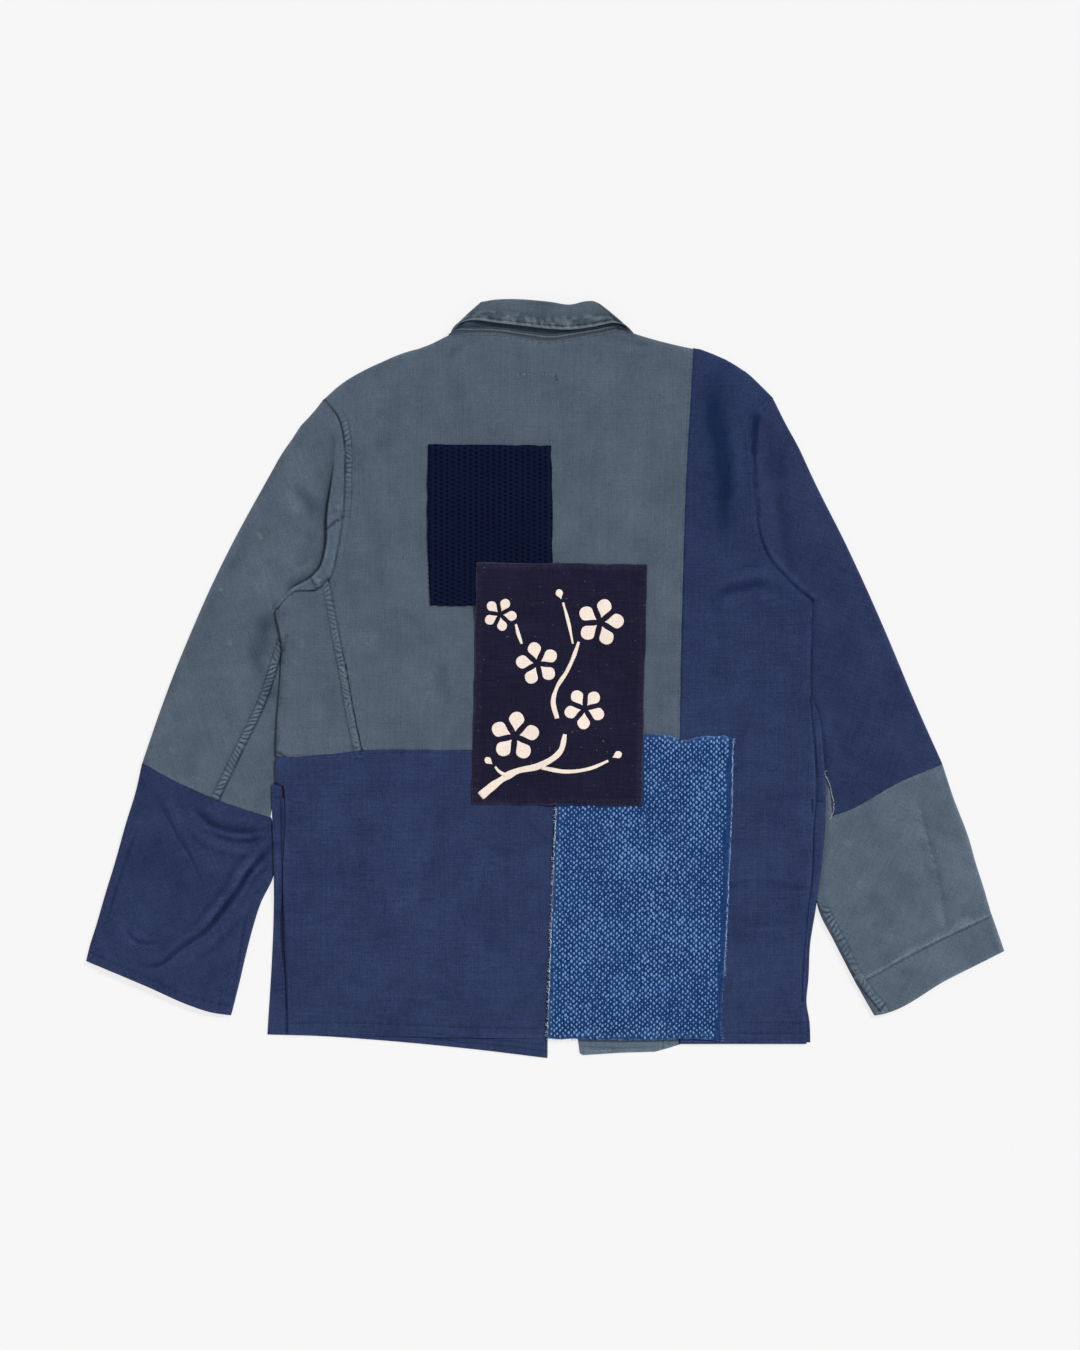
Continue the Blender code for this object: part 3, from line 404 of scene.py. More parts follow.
# Stains, specks and rubbed places; beside the side's fold and at the pleat's tuck, painted shade and
# highlight.
Spot = namedtuple("Spot", "dark radius x y")
SPOTS = [
    Spot(0.25, 6, -289, 146), Spot(0.35, 9, -293, 58), Spot(-1.6, 1.7, -331, 92), Spot(-1.6, 1.7, -321, 37),
    Spot(0.9, 1.6, -215, 171), Spot(-0.9, 1.8, -210, 175), Spot(0.8, 1.5, -207, 169),
    Spot(-0.8, 1.7, -217, 165), Spot(0.7, 1.5, -212, 180), Spot(0.5, 5, -169, 270),
    Spot(-1.0, 4.5, 423, -248), Spot(-0.9, 3.5, 430, -245), Spot(0.9, 2.2, -211, -361),
    Spot(0.15, 13, 96, 300), Spot(0.15, 10, -120, 318), Spot(0.15, 9, 12, 292), Spot(-0.4, 8, -180, 40),
    Spot(0.3, 14, 150, -210), Spot(-0.3, 16, -140, -230), Spot(0.2, 8, -238, -200),
    Spot(0.25, 9, 367, -207),
]

# --- Arithmetic on many plan points at once ---

NOISE_CELLS = (61, 67)  # the noise repeats after this many cells each way
NOISE_START = 500  # and it is read from this many cells in
TINY = 1e-9


def ramp(value, start, end):
    """0 at start and 1 at end, easing in and out, and level outside them."""
    share = np.clip((value - start) / (end - start), 0, 1)
    return share * share * (3 - 2 * share)


def bump(value, width):
    """1 at 0, and next to nothing at twice the width."""
    return np.exp(-((value / width) ** 2))


def noise(x, y, size, seed):
    """Smooth random values from -1 to 1 that change over about this size."""
    table = np.random.default_rng(seed).uniform(-1, 1, NOISE_CELLS)
    u, v = np.asarray(x, float) / size + NOISE_START, np.asarray(y, float) / size + NOISE_START
    i, j = np.floor(u).astype(int), np.floor(v).astype(int)
    s, t = ramp(u - i, 0, 1), ramp(v - j, 0, 1)

    def at(column, row):
        return table[column % NOISE_CELLS[0], row % NOISE_CELLS[1]]

    low = at(i, j) * (1 - s) + at(i + 1, j) * s
    high = at(i, j + 1) * (1 - s) + at(i + 1, j + 1) * s
    return low * (1 - t) + high * t


def wander(along, size, seed):
    """Noise that changes along a line only."""
    return noise(along, along * 0, size, seed)


def measure(line, xy):
    """For each point: the distance to a line, its side (1 is on the left going along), and how far along."""
    line = np.asarray(line, float)
    best = np.full(len(xy), np.inf)
    side = np.ones(len(xy))
    along = np.zeros(len(xy))
    start = 0.0
    for a, b in zip(line, line[1:]):
        run = b - a
        length = hypot(*run)
        if length < TINY:
            continue
        place = xy - a
        share = np.clip(place @ run / length**2, 0, 1)
        off = place - share[:, None] * run
        distance = np.hypot(off[:, 0], off[:, 1])
        nearer = distance < best
        best[nearer] = distance[nearer]
        side[nearer] = np.where(run[0] * place[:, 1] - run[1] * place[:, 0] > 0, 1, -1)[nearer]
        along[nearer] = (start + share * length)[nearer]
        start += length
    return best, side, along


def away_from(line, points, gap):
    """The points that are further than a gap from a line."""
    return points[measure(line, points)[0] > gap]


def length_of(line):
    return float(np.hypot(*np.diff(np.asarray(line, float)[:, :2], axis=0).T).sum())


def closed(ring):
    return np.vstack([ring, ring[:1]])


def inside(ring, xy):
    """Which points lie inside a closed ring."""
    odd = np.zeros(len(xy), bool)
    x, y = xy[:, 0], xy[:, 1]
    for (ax, ay), (bx, by) in zip(ring, np.roll(ring, -1, axis=0)):
        if ay == by:
            continue
        crosses = (ay > y) != (by > y)
        odd ^= crosses & (x < (bx - ax) * (y - ay) / (by - ay) + ax)
    return odd


def curve(points, step):
    """A smooth line through points, with a point about every step. Its length is taken in plan."""
    points = np.asarray(points, float)
    spans = np.hypot(*np.diff(points[:, :2], axis=0).T)
    slopes = np.diff(points, axis=0) / spans[:, None]
    tangents = np.vstack([slopes[:1], slopes])
    if len(points) > 2:
        before, after = spans[:-1, None], spans[1:, None]
        tangents[1:-1] = (slopes[:-1] * after + slopes[1:] * before) / (before + after)
    pieces = []
    for k, span in enumerate(spans):
        count = max(1, round(span / step))
        t = np.arange(count)[:, None] / count
        pieces.append(
            (2 * t**3 - 3 * t**2 + 1) * points[k]
            + (t**3 - 2 * t**2 + t) * span * tangents[k]
            + (3 * t**2 - 2 * t**3) * points[k + 1]
            + (t**3 - t**2) * span * tangents[k + 1]
        )
    return np.vstack([*pieces, points[-1:]])


def beside(line, distance):
    """A line moved to its left by a distance, or to its right where it is below 0."""
    line = np.asarray(line, float)
    run = np.gradient(line, axis=0)
    left = np.stack([-run[:, 1], run[:, 0]], axis=1) / np.hypot(run[:, 0], run[:, 1])[:, None]
    return line + left * distance


def outwards_of(ring):
    """The outward direction at each point of an anticlockwise outline."""
    run = np.roll(ring, -1, axis=0) - np.roll(ring, 1, axis=0)
    return np.stack([run[:, 1], -run[:, 0]], axis=1) / np.hypot(run[:, 0], run[:, 1])[:, None]


def simplify(points, tolerance):
    """The points of an open line that it needs to keep its shape."""
    if len(points) < 3:
        return points
    off = measure([points[0], points[-1]], np.array(points))[0]
    far = int(off.argmax())
    if off[far] < tolerance:
        return [points[0], points[-1]]
    return simplify(points[: far + 1], tolerance)[:-1] + simplify(points[far:], tolerance)


def unit(vectors):
    return vectors / np.maximum(np.linalg.norm(vectors, axis=-1, keepdims=True), TINY)


# --- The CAD nodes, in millimetres ---

OUTLINE_GRID = 0.05
OUTLINE_TOLERANCE = 0.25
CORNER = radians(34)  # an outline that turns more than this has a corner there
CLEAR_HEIGHT = 60  # rays start this far above the surface, or below it
NEAR_HEIGHT = 12  # just over the jacket


def mesh_arrays(mesh):
    """A mesh's points and triangles."""
    points = np.empty(len(mesh.vertices) * 3)
    mesh.vertices.foreach_get("co", points)
    mesh.calc_loop_triangles()
    faces = np.empty(len(mesh.loop_triangles) * 3, int)
    mesh.loop_triangles.foreach_get("vertices", faces)
    return points.reshape(-1, 3) / MM, faces.reshape(-1, 3)


def plan_areas(points, faces):
    """Twice each triangle's area in plan, above 0 where it faces up."""
    a, b, c = (points[faces[:, k]] for k in range(3))
    return (b[:, 0] - a[:, 0]) * (c[:, 1] - a[:, 1]) - (b[:, 1] - a[:, 1]) * (c[:, 0] - a[:, 0])


class Solid:
    """A CAD node's mesh, for its outline in plan and the heights of its upper and lower sides."""

    def __init__(self, name):
        self.points, self.faces = mesh_arrays(frame["nodes"][name].data)
        self.tree = BVHTree.FromPolygons(self.points.tolist(), self.faces.tolist())

    def height(self, xy, side):
        """The height of the upper side (1) or the lower side (-1) at each point."""
        return heights(self.tree, xy, side)

    def outline(self, step):
        """The outline in plan, anticlockwise, smooth between its corners."""
        loop = self.plan_loop()
        first = int(np.argmax(turns(loop)))
        loop = np.roll(loop, -first, axis=0)
        far = int(np.hypot(*(loop - loop[0]).T).argmax())
        start = simplify(list(loop[: far + 1]), OUTLINE_TOLERANCE)
        finish = simplify([*loop[far:], loop[0]], OUTLINE_TOLERANCE)
        loop = np.array(start[:-1] + finish[:-1])
        corners = [k for k, turn in enumerate(turns(loop)) if turn > CORNER or k == 0]
        ends = [*corners[1:], len(loop)]
        return np.vstack([curve(closed(loop)[a : b + 1], step)[:-1] for a, b in zip(corners, ends)])

    def plan_loop(self):
        """The longest loop round the node as it is seen from above, anticlockwise."""
        key = np.round(self.points[:, :2] / OUTLINE_GRID).astype(int)
        places, index = np.unique(key, axis=0, return_inverse=True)
        places = places * OUTLINE_GRID
        faces = index.ravel()[self.faces]
        area = plan_areas(places, faces)
        faces = np.where(area[:, None] > 0, faces, faces[:, ::-1])[np.abs(area) > OUTLINE_GRID]
        found = delaunay_2d_cdt([Vector(p) for p in places], [], faces.tolist(), 1, 1e-3)
        steps = {(a, b) for face in found[2] for a, b in zip(face, [*face[1:], face[0]])}
        following = {a: b for a, b in steps if (b, a) not in steps}
        loops = []
        while following:
            here = min(following)
            loop = []
            while here in following:
                loop.append(here)
                here = following.pop(here)
            loops.append(loop)
        return np.array([found[0][k][:] for k in max(loops, key=len)])


def turns(loop):
    """How much a closed loop turns at each of its points."""
    before = loop - np.roll(loop, 1, axis=0)
    after = np.roll(loop, -1, axis=0) - loop
    cross = before[:, 0] * after[:, 1] - before[:, 1] * after[:, 0]
    dot = (before * after).sum(axis=1)
    return np.abs(np.arctan2(cross, dot))


def heights(tree, xy, side=1):
    """The height of a surface seen from above (side 1) or below (side -1)."""
    down = Vector((0, 0, -side))
    found = np.empty(len(xy))
    for k, (x, y) in enumerate(xy.tolist()):
        hit = tree.ray_cast(Vector((x, y, CLEAR_HEIGHT * side)), down)[0]
        if hit is None:
            hit = tree.find_nearest(Vector((x, y, NEAR_HEIGHT * side)))[0]
        found[k] = hit.z
    return found


SOLIDS = {name: Solid(name) for name in frame["nodes"]}

# --- Meshes ---

ROW_PITCH = 0.866  # between the rows of a field of even triangles, for a spacing of 1
INSET_KEPT = 0.88  # an inset point is kept where it is over this share of its inset from the outline
LINE_CLEARANCE = 0.6  # from an outline to the lines that a mesh follows


def grid(ring, spacing):
    """A field of points, each in the middle of six others, over the whole of a ring's box."""
    low, high = ring.min(axis=0), ring.max(axis=0)
    rows = np.arange(low[1], high[1], spacing * ROW_PITCH)
    columns = np.arange(low[0] - spacing, high[0], spacing)
    x, y = np.meshgrid(columns, rows)
    x[1::2] += spacing / 2
    return np.stack([x.ravel(), y.ravel()], axis=1)


def fill(ring, spacing, fine=(), lines=(), insets=(0.5, 1.5)):
    """A mesh in plan inside a closed ring: points and faces. It is finer along the fine lines, which
    come with how far the finer mesh reaches, and its edges follow the other lines."""
    loop = closed(ring)
    sets = [ring]
    for inset in insets:
        sets.append(away_from(loop, ring - outwards_of(ring) * inset, inset * INSET_KEPT))
    edges = [(k, (k + 1) % len(ring)) for k in range(len(ring))]
    for line in lines:
        kept = inside(ring, line) & (measure(loop, line)[0] > LINE_CLEARANCE)
        number = sum(len(points) for points in sets) + np.cumsum(kept) - 1
        edges += [(number[k], number[k + 1]) for k in range(len(line) - 1) if kept[k] and kept[k + 1]]
        sets.append(line[kept])
    coarse = grid(ring, spacing)
    for line, reach in fine:
        coarse = away_from(line, coarse, reach)
    close = np.empty((0, 2))
    if fine:
        close = grid(ring, FINE)
        close = close[np.any([measure(line, close)[0] < reach - FINE / 2 for line, reach in fine], axis=0)]
    for points, gap in ((coarse, spacing), (close, FINE)):
        points = points[inside(ring, points)]
        points = away_from(loop, points, insets[-1] + gap / 2)
        for line in lines:
            points = away_from(line, points, gap / 2)
        sets.append(points)
    found = delaunay_2d_cdt([Vector(p) for p in np.vstack(sets).tolist()], edges, [], 1, 1e-4)
    return np.array([p[:] for p in found[0]]), np.array([face for face in found[2] if len(face) == 3])


def sides_of(faces):
    return np.vstack([faces[:, [0, 1]], faces[:, [1, 2]], faces[:, [2, 0]]])


def relax(z, faces, fixed=None, rounds=12):
    """Heights smoothed over a mesh, with some kept as they are."""
    links = sides_of(faces)
    degree = np.maximum(np.bincount(links.ravel(), minlength=len(z)), 1)
    for _ in range(rounds):
        total = np.bincount(links[:, 0], weights=z[links[:, 1]], minlength=len(z))
        total += np.bincount(links[:, 1], weights=z[links[:, 0]], minlength=len(z))
        smoothed = (z + total / degree) / 2
        z = smoothed if fixed is None else np.where(fixed, z, smoothed)
    return z


def normals_of(points, faces):
    a, b, c = (points[faces[:, k]] for k in range(3))
    total = np.zeros_like(points)
    for k in range(3):
        np.add.at(total, faces[:, k], np.cross(b - a, c - a))
    return unit(total)


def shell(points, faces, values, thickness, inwards=False):
    """A sheet made into a wall with a rounded rim: its points, faces and values. The sheet is the wall's
    middle, or with inwards its outer skin. Values are columns that belong to the points."""
    count = len(points)
    normal = normals_of(points, faces)
    outer = points if inwards else points + normal * thickness / 2
    inner = outer - normal * thickness
    steps = sides_of(faces)
    border = steps[~np.isin(steps @ (count, 1), steps @ (1, count))]
    rim = np.unique(border)
    number = np.full(count, -1)
    number[rim] = np.arange(len(rim))
    run = np.zeros_like(points)
    for k in range(2):
        np.add.at(run, border[:, k], points[border[:, 1]] - points[border[:, 0]])
    inset = unit(np.cross(run[rim], normal[rim])) * thickness * RIM_INSET
    middle = (outer[rim] + inner[rim]) / 2
    outer, inner = outer.copy(), inner.copy()
    outer[rim] -= inset
    inner[rim] -= inset
    a, b = border[:, 0], border[:, 1]
    am, bm = 2 * count + number[a], 2 * count + number[b]
    walls = [(b, a, am), (b, am, bm), (bm, am, a + count), (bm, a + count, b + count)]
    return (
        np.vstack([outer, inner, middle]),
        np.vstack([faces, faces[:, ::-1] + count, *(np.stack(wall, axis=1) for wall in walls)]),
        {name: np.concatenate([v, v, v[rim]]) for name, v in values.items()},
    )


def new_piece(name, material, points, faces, values=None):
    """A mesh object in metres from points in millimetres."""
    mesh = bpy.data.meshes.new(name)
    points = np.array(points, float)
    points[:, 2] = np.maximum(points[:, 2], 0)
    mesh.vertices.add(len(points))
    mesh.vertices.foreach_set("co", (points * MM).ravel())
    mesh.loops.add(len(faces) * 3)
    mesh.loops.foreach_set("vertex_index", np.asarray(faces, np.int32).ravel())
    mesh.polygons.add(len(faces))
    mesh.polygons.foreach_set("loop_start", np.arange(0, len(faces) * 3, 3, dtype=np.int32))
    mesh.update(calc_edges=True)
    mesh.validate()
    for key, column in (values or {}).items():
        mesh.attributes.new(key, "FLOAT", "POINT").data.foreach_set("value", column.astype(np.float32))
    mesh.shade_smooth()
    mesh.materials.append(material)
    piece = bpy.data.objects.new(name, mesh)
    bpy.context.scene.collection.objects.link(piece)
    return piece


# --- Relief: how far the cloth stands above or below its plain shape ---

GROOVE_WIDTH = 0.9  # of a line of stitches
FOLD_ENDS = (0.35, 0.62)  # how far along a fold it has its full height, and where it starts to fade
FOLD_BANK = 0.22  # beside a fold the cloth goes the other way, by this share of the fold's height
BAND_END = 12  # the puckers of a felled band start and stop over this length
SLIT_DEPTH, SLIT_WIDTH = 0.7, 1.2  # of an open edge that runs into the cloth


def beside_box(line, xy, reach):
    """Which points lie within this distance of a line's box."""
    return ((xy > line.min(axis=0) - reach) & (xy < line.max(axis=0) + reach)).all(axis=1)


def shading(xy):
    """How dark (or below 0, how pale) the marks make the cloth: painted shade and highlight, stains and wear.
    """
    total = ladder_marks(xy)
    for number, shade in enumerate(SHADES):
        line = curve(shade.line, 4)
        near = beside_box(line, xy, 3 * shade.width)
        if not near.any():
            continue
        distance, side, along = measure(line, xy[near])
        uneven = 0.85 + 0.3 * wander(along, 15, 700 + number)
        there = ramp(side * shade.hand * distance, -0.4, 0.4) if shade.hand else 1
        total[near] += shade.dark * uneven * there * bump(distance, shade.width)
    for spot in SPOTS:
        distance = np.hypot(xy[:, 0] - spot.x, xy[:, 1] - spot.y)
        ragged = 1 + 0.35 * noise(xy[:, 0], xy[:, 1], spot.radius * 0.7, 760)
        total += spot.dark * bump(distance * ragged, spot.radius)
    return total


def creases(table, xy, strength=1.0, narrow=1.0):
    """The height that a table's folds give each point."""
    total = np.zeros(len(xy))
    for number, crease in enumerate(table):
        line = curve(crease.line, 5)
        near = beside_box(line, xy, 4 * crease.width)
        if not near.any():
            continue
        distance, side, along = measure(line, xy[near])
        length = length_of(line)
        width = crease.width * narrow * (1 + 0.6 * crease.lean * side)
        grown, fading = FOLD_ENDS[0] * length, FOLD_ENDS[1] * length
        ends = ramp(along, 0, grown) * (1 - ramp(along, fading, length))
        uneven = 0.8 + 0.25 * wander(along, 16, 40 + number)
        shape = bump(distance, width) - FOLD_BANK * bump(distance - 2 * width, 0.9 * width)
        total[near] += crease.height * ends * uneven * shape
    return total * strength


def rumple(xy, height, size, seed):
    """A slow, uneven rise and fall."""
    x, y = xy[:, 0], xy[:, 1]
    return height * (
        0.6 * noise(x, y, size, seed)
        + 0.3 * noise(x + 0.4 * y, y - 0.4 * x, size / 2.3, seed + 1)
        + 0.05 * noise(x, y, size / 5, seed + 2)
    )


# A line of stitches that draws the cloth in: the line, how deep its groove is, and how high, how far apart
# and how long the puckers across it are.
Sewn = namedtuple("Sewn", "line depth pucker pitch reach seed")


def sewn(rows, xy):
    """The grooves of lines of stitches, with small puckers across them."""
    total = np.zeros(len(xy))
    for row in rows:
        distance, _, along = measure(row.line, xy)
        wave = np.sin(2 * pi * (along + 2.2 * wander(along, 11, row.seed)) / row.pitch)
        strength = 0.6 + 0.4 * wander(along, 26, row.seed + 7)
        groove = row.depth * bump(distance, GROOVE_WIDTH)
        total += row.pucker * wave * strength * bump(distance, row.reach) - groove
    return total


# A felled seam: the line, the side that its band is on (1 the left), its width and rise, how deep its
# puckers are and how far apart, and where along the line it starts and ends.
Felled = namedtuple("Felled", "line hand width rise depth pitch start end seed")


def ladder(seam, xy):
    """The puckers across a felled seam, from 0 to 1, with their strength, how far the seam is there, and
    how far across it each point is."""
    distance, side, along = measure(seam.line, xy)
    off = distance * side * seam.hand
    lean = 1.1 * wander(along, 12, seam.seed + 3) * (off - seam.width / 2)
    phase = (along + 1.5 * wander(along, 9, seam.seed) + lean) / seam.pitch
    strength = 0.65 + 0.35 * wander(along, 19, seam.seed + 5)
    inner = bump(off - seam.width * 0.5, seam.width * 0.45)
    started = ramp(along, seam.start, seam.start + BAND_END)
    there = started * (1 - ramp(along, seam.end - BAND_END, seam.end))
    return bump(phase - np.round(phase), 0.2), strength * inner, there, off


def felled(seam, xy):
    """The band of a felled seam on one side of its line: raised, with a ladder of puckers across it."""
    pucker, strength, there, off = ladder(seam, xy)
    band = ramp(off, -0.5, 0.5) * (1 - ramp(off, seam.width - 0.9, seam.width + 0.9))
    edges = bump(off, 0.8) + 0.7 * bump(off - seam.width, 0.8)
    return there * (band * seam.rise + seam.depth * (0.4 - pucker) * strength - 0.3 * edges)


def ladder_marks(xy):
    """Painted shade in the felled seams' pucker folds and along their bands' far edges, below 0 painted
    highlight.
    """
    total = np.zeros(len(xy))
    for seam in FELLED:
        near = beside_box(seam.line, xy, 12)
        pucker, strength, there, off = ladder(seam, xy[near])
        total[near] += there * strength * (2.6 * pucker - 0.75) + 0.5 * there * bump(off - seam.width, 0.7)
    return total


ARM_LEFT = curve(ARMHOLE_LEFT, 3)
ARM_RIGHT = curve(ARMHOLE_RIGHT, 3)
PLEAT = curve(PLEAT_LEFT, 2.5)
SIDE = curve(SIDE_SEAM[:7], 3)
WAIST = curve(WAIST_SEAM, 4)
STRIP = curve(STRIP_SEAM, 4)
NECK = curve(NECK_SEAM, 3)
SLEEVE_LEFT = curve(SLEEVE_SEAM_LEFT, 3)
SLEEVE_RIGHT = curve(SLEEVE_SEAM_RIGHT, 3)
VENT = curve(VENT_LEFT, 3)
SLIT = curve(SLIT_RIGHT, 3)

# Rows of stitching beside them, and the two rows that are left of a label.
CUFF_HEM_LEFT = curve(CUFF_STITCH_LEFT, 3)
CUFF_ROW_RIGHT = beside(curve(CUFF_SEAM[:4], 3), 5)
JOIN_ROW_RIGHT = curve(JOIN_STITCH_RIGHT, 3)
ARM_ROW_RIGHT = beside(ARM_RIGHT, 2.4)
HEM_LEFT_BACK = curve([(-264, -351), (-205, -350), (-146, -352), (-67, -355), (2, -356)], 3)
HEM_RIGHT_BACK = curve(HEM_STITCH_RIGHT, 3)
HEM_RIGHT_UPPER = curve(HEM_STITCH_UPPER, 3)
WAIST_STITCH = curve([(-270, -82.5), (-224, -80.5), (-186, -76.5), (-76, -75.5), (137, -75.5)], 3)
STRIP_STITCH = beside(STRIP, -2.6)
NECK_STITCH = beside(NECK, -3)
GHOST_TOP = curve([(-30, 310), (-9, 311), (11, 310)], 3)
GHOST_LOW = curve([(-48, 282), (-16, 283), (15, 282)], 3)

FELLED_ARM = Felled(ARM_LEFT[:72], 1, 7.0, 0.3, 0.4, 4.8, 18, 132, 11)
FELLED_SIDE = Felled(SIDE, 1, 8.0, 0.35, 0.6, 4.9, -12, 190, 13)
FELLED_SLEEVE = Felled(SLEEVE_LEFT, -1, 8.0, 0.4, 0.6, 4.8, 2, 400, 53)
FELLED_CUFF = Felled(SLEEVE_RIGHT, 1, 8.5, 0.35, 0.8, 5.4, 2, 400, 83)
FELLED = [FELLED_ARM, FELLED_SIDE, FELLED_SLEEVE, FELLED_CUFF]
BACK_SEWN = [
    Sewn(ARM_ROW_RIGHT, 0.22, 0.1, 8, 4, 15), Sewn(WAIST_STITCH, 0.22, 0.1, 9, 4, 17),
    Sewn(STRIP_STITCH, 0.2, 0.06, 10, 4, 19), Sewn(HEM_LEFT_BACK, 0.25, 0.12, 9, 7, 21),
    Sewn(HEM_RIGHT_BACK, 0.25, 0.12, 8, 6, 23), Sewn(HEM_RIGHT_UPPER, 0.15, 0.06, 8, 5, 25),
    Sewn(NECK_STITCH, 0.25, 0.12, 8, 5, 27), Sewn(GHOST_TOP, 0.15, 0.1, 5, 3, 29),
    Sewn(GHOST_LOW, 0.1, 0.05, 6, 3, 31),
]
LEFT_CUFF_SEWN = [Sewn(CUFF_HEM_LEFT, 0.2, 0.15, 9, 6, 63)]
RIGHT_ARM_SEWN = [Sewn(JOIN_ROW_RIGHT, 0.1, 0.2, 9, 6, 73)]
RIGHT_CUFF_SEWN = [Sewn(CUFF_ROW_RIGHT, 0.25, 0.12, 6.5, 5, 85)]


def back_form(xy):
    """The slow rise and fall and the folds of the back, which the patches on it share."""
    return rumple(xy, 0.75, 70, 3) + creases(BACK_CREASES, xy, 0.9)


def back_relief(xy):
    """The back of the jacket."""
    total = back_form(xy) + felled(FELLED_ARM, xy) + felled(FELLED_SIDE, xy) + sewn(BACK_SEWN, xy)
    for slit in (VENT, SLIT):
        total -= SLIT_DEPTH * bump(measure(slit, xy)[0], SLIT_WIDTH)
    # the sleeves lie just under the sides, so there the back may not sink
    side = ramp(np.abs(xy[:, 0]), 190, 212) * ramp(xy[:, 1], -350, -300)
    return np.where(total < 0, total * (1 - 0.8 * side), total)


def patch_relief(xy):
    return back_form(xy) + creases(PATCH_CREASES, xy)


PLEAT_RISE = 0.9
FLAP = [(-238, 104.5), (-232.8, 92.6), (-226, 101)]  # the small corner folded over where the pleat ends
FLAP_RISE = 0.5


def pleat_step(xy):
    """The sleeve's fullness, folded towards the armhole: a raised strip with a sharp edge over a hollow."""
    distance, side, along = measure(PLEAT, xy)
    off = distance * side
    there = ramp(along, 40, 130) * (1 - ramp(along, 190, 212))
    strip = ramp(off, -0.85, 0) * (PLEAT_RISE + 0.3 * bump(off - 1.4, 1.5))
    hollow = 0.8 * bump(off + 0.8, 7) * (off < -0.4)
    return there * (strip - hollow) + inside(np.array(FLAP, float), xy) * FLAP_RISE


def left_arm_relief(xy):
    folds = rumple(xy, 1.1, 62, 51) + creases(LEFT_ARM_CREASES, xy, 0.65)
    return folds + pleat_step(xy) + felled(FELLED_SLEEVE, xy)


def left_cuff_relief(xy):
    return rumple(xy, 1.0, 44, 61) + creases(LEFT_SLEEVE_CREASES, xy, 1.4, 0.8) + sewn(LEFT_CUFF_SEWN, xy)


def right_arm_relief(xy):
    distance, _, along = measure(ARM_RIGHT, xy)
    hollow = 0.9 * bump(distance, 6) * ramp(along, 50, 110)
    return rumple(xy, 1.1, 66, 71) + creases(RIGHT_ARM_CREASES, xy, 0.7) - hollow + sewn(RIGHT_ARM_SEWN, xy)


def right_cuff_relief(xy):
    seam = felled(FELLED_CUFF, xy) + sewn(RIGHT_CUFF_SEWN, xy) + 0.35 * bump(measure(CUFF_SEAM, xy)[0], 2.0)
    return rumple(xy, 1.0, 52, 81) + creases(RIGHT_CUFF_CREASES, xy, 0.5) + seam


def front_relief(xy):
    return rumple(xy, 0.6, 60, 91) + creases(FRONT_CREASES, xy)


# --- Materials ---


def srgb(red, green, blue):
    """A colour written as 0 to 255 on a screen, as the shader wants it."""
    parts = [c / 255 for c in (red, green, blue)]
    return [c / 12.92 if c <= 0.04045 else ((c + 0.055) / 1.055) ** 2.4 for c in parts]


def rgba(red, green, blue):
    return (*srgb(red, green, blue), 1)


class Graph:
    """A material's nodes, added and joined one by one."""

    def __init__(self, name):
        self.material = bpy.data.materials.new(name)
        self.material.use_nodes = True
        self.tree = self.material.node_tree
        self.surface = self.tree.nodes["Principled BSDF"]
        coordinates = self.tree.nodes.new("ShaderNodeTexCoord")
        self.place = coordinates.outputs["Object"]

    def node(self, kind, settings=None, **inputs):
        made = self.tree.nodes.new(kind)
        for key, value in (settings or {}).items():
            setattr(made, key, value)
        for key, value in inputs.items():
            self.put(made.inputs[key.replace("_", " ")], value)
        return made

    def put(self, socket, value):
        """Join an output to a socket, or give the socket a plain value."""
        if isinstance(value, bpy.types.NodeSocket):
            self.tree.links.new(value, socket)
        else:
            socket.default_value = value

    def coat(self, **inputs):
        """Set inputs of the surface, whose names are written with _ for each space."""
        for key, value in inputs.items():
            self.put(self.surface.inputs[key.replace("_", " ")], value)

    def math(self, operation, *values):
        made = self.tree.nodes.new("ShaderNodeMath")
        made.operation = operation
        for socket, value in zip(made.inputs, values):
            self.put(socket, value)
        return made.outputs[0]

    def mapped(self, turn=0.0, across=1.0, along=1.0):
        """Coordinates in millimetres, turned and then divided by the size of a feature each way."""
        turned = self.node("ShaderNodeMapping", Vector=self.place, Rotation=(0, 0, turn))
        scale = (1 / MM / across, 1 / MM / along, 1 / MM)
        return self.node("ShaderNodeMapping", Vector=turned.outputs[0], Scale=scale).outputs[0]

    def noise(self, vector, size, detail, roughness=0.5):
        """Noise centred on 0, over about this size."""
        made = self.node(
            "ShaderNodeTexNoise", Vector=vector, Scale=1 / size, Detail=detail, Roughness=roughness
        )
        return self.math("SUBTRACT", made.outputs["Fac"], 0.5)

    def wave(self, vector, direction):
        """The waves of a plain weave, along X or Y."""
        settings = {"bands_direction": direction}
        made = self.node("ShaderNodeTexWave", settings, Vector=vector, Scale=0.42, Distortion=1.4, Detail=1.0)
        return made.outputs["Fac"]

    def attribute(self, name):
        return self.node("ShaderNodeAttribute", {"attribute_name": name}).outputs["Fac"]

    def mix(self, factor, first, second):
        made = self.node("ShaderNodeMix", {"data_type": "RGBA"})
        self.put(made.inputs[0], factor)
        self.put(made.inputs[6], first)
        self.put(made.inputs[7], second)
        return made.outputs[2]

    def vector_math(self, operation, first, socket, second):
        made = self.node("ShaderNodeVectorMath", {"operation": operation})
        self.put(made.inputs[0], first)
        self.put(made.inputs[socket], second)
        return made.outputs[0]

    def scaled(self, colour, factor):
        return self.vector_math("SCALE", colour, "Scale", factor)

    def sum(self, start, *terms):
        """start plus each term's value times its weight."""
        total = start
        for value, weight in terms:
            total = self.math("MULTIPLY_ADD", value, weight, total)
        return total

    def bump(self, height, distance, strength):
        made = self.node("ShaderNodeBump", Height=height, Strength=strength, Distance=distance)
        self.coat(Normal=made.outputs[0])


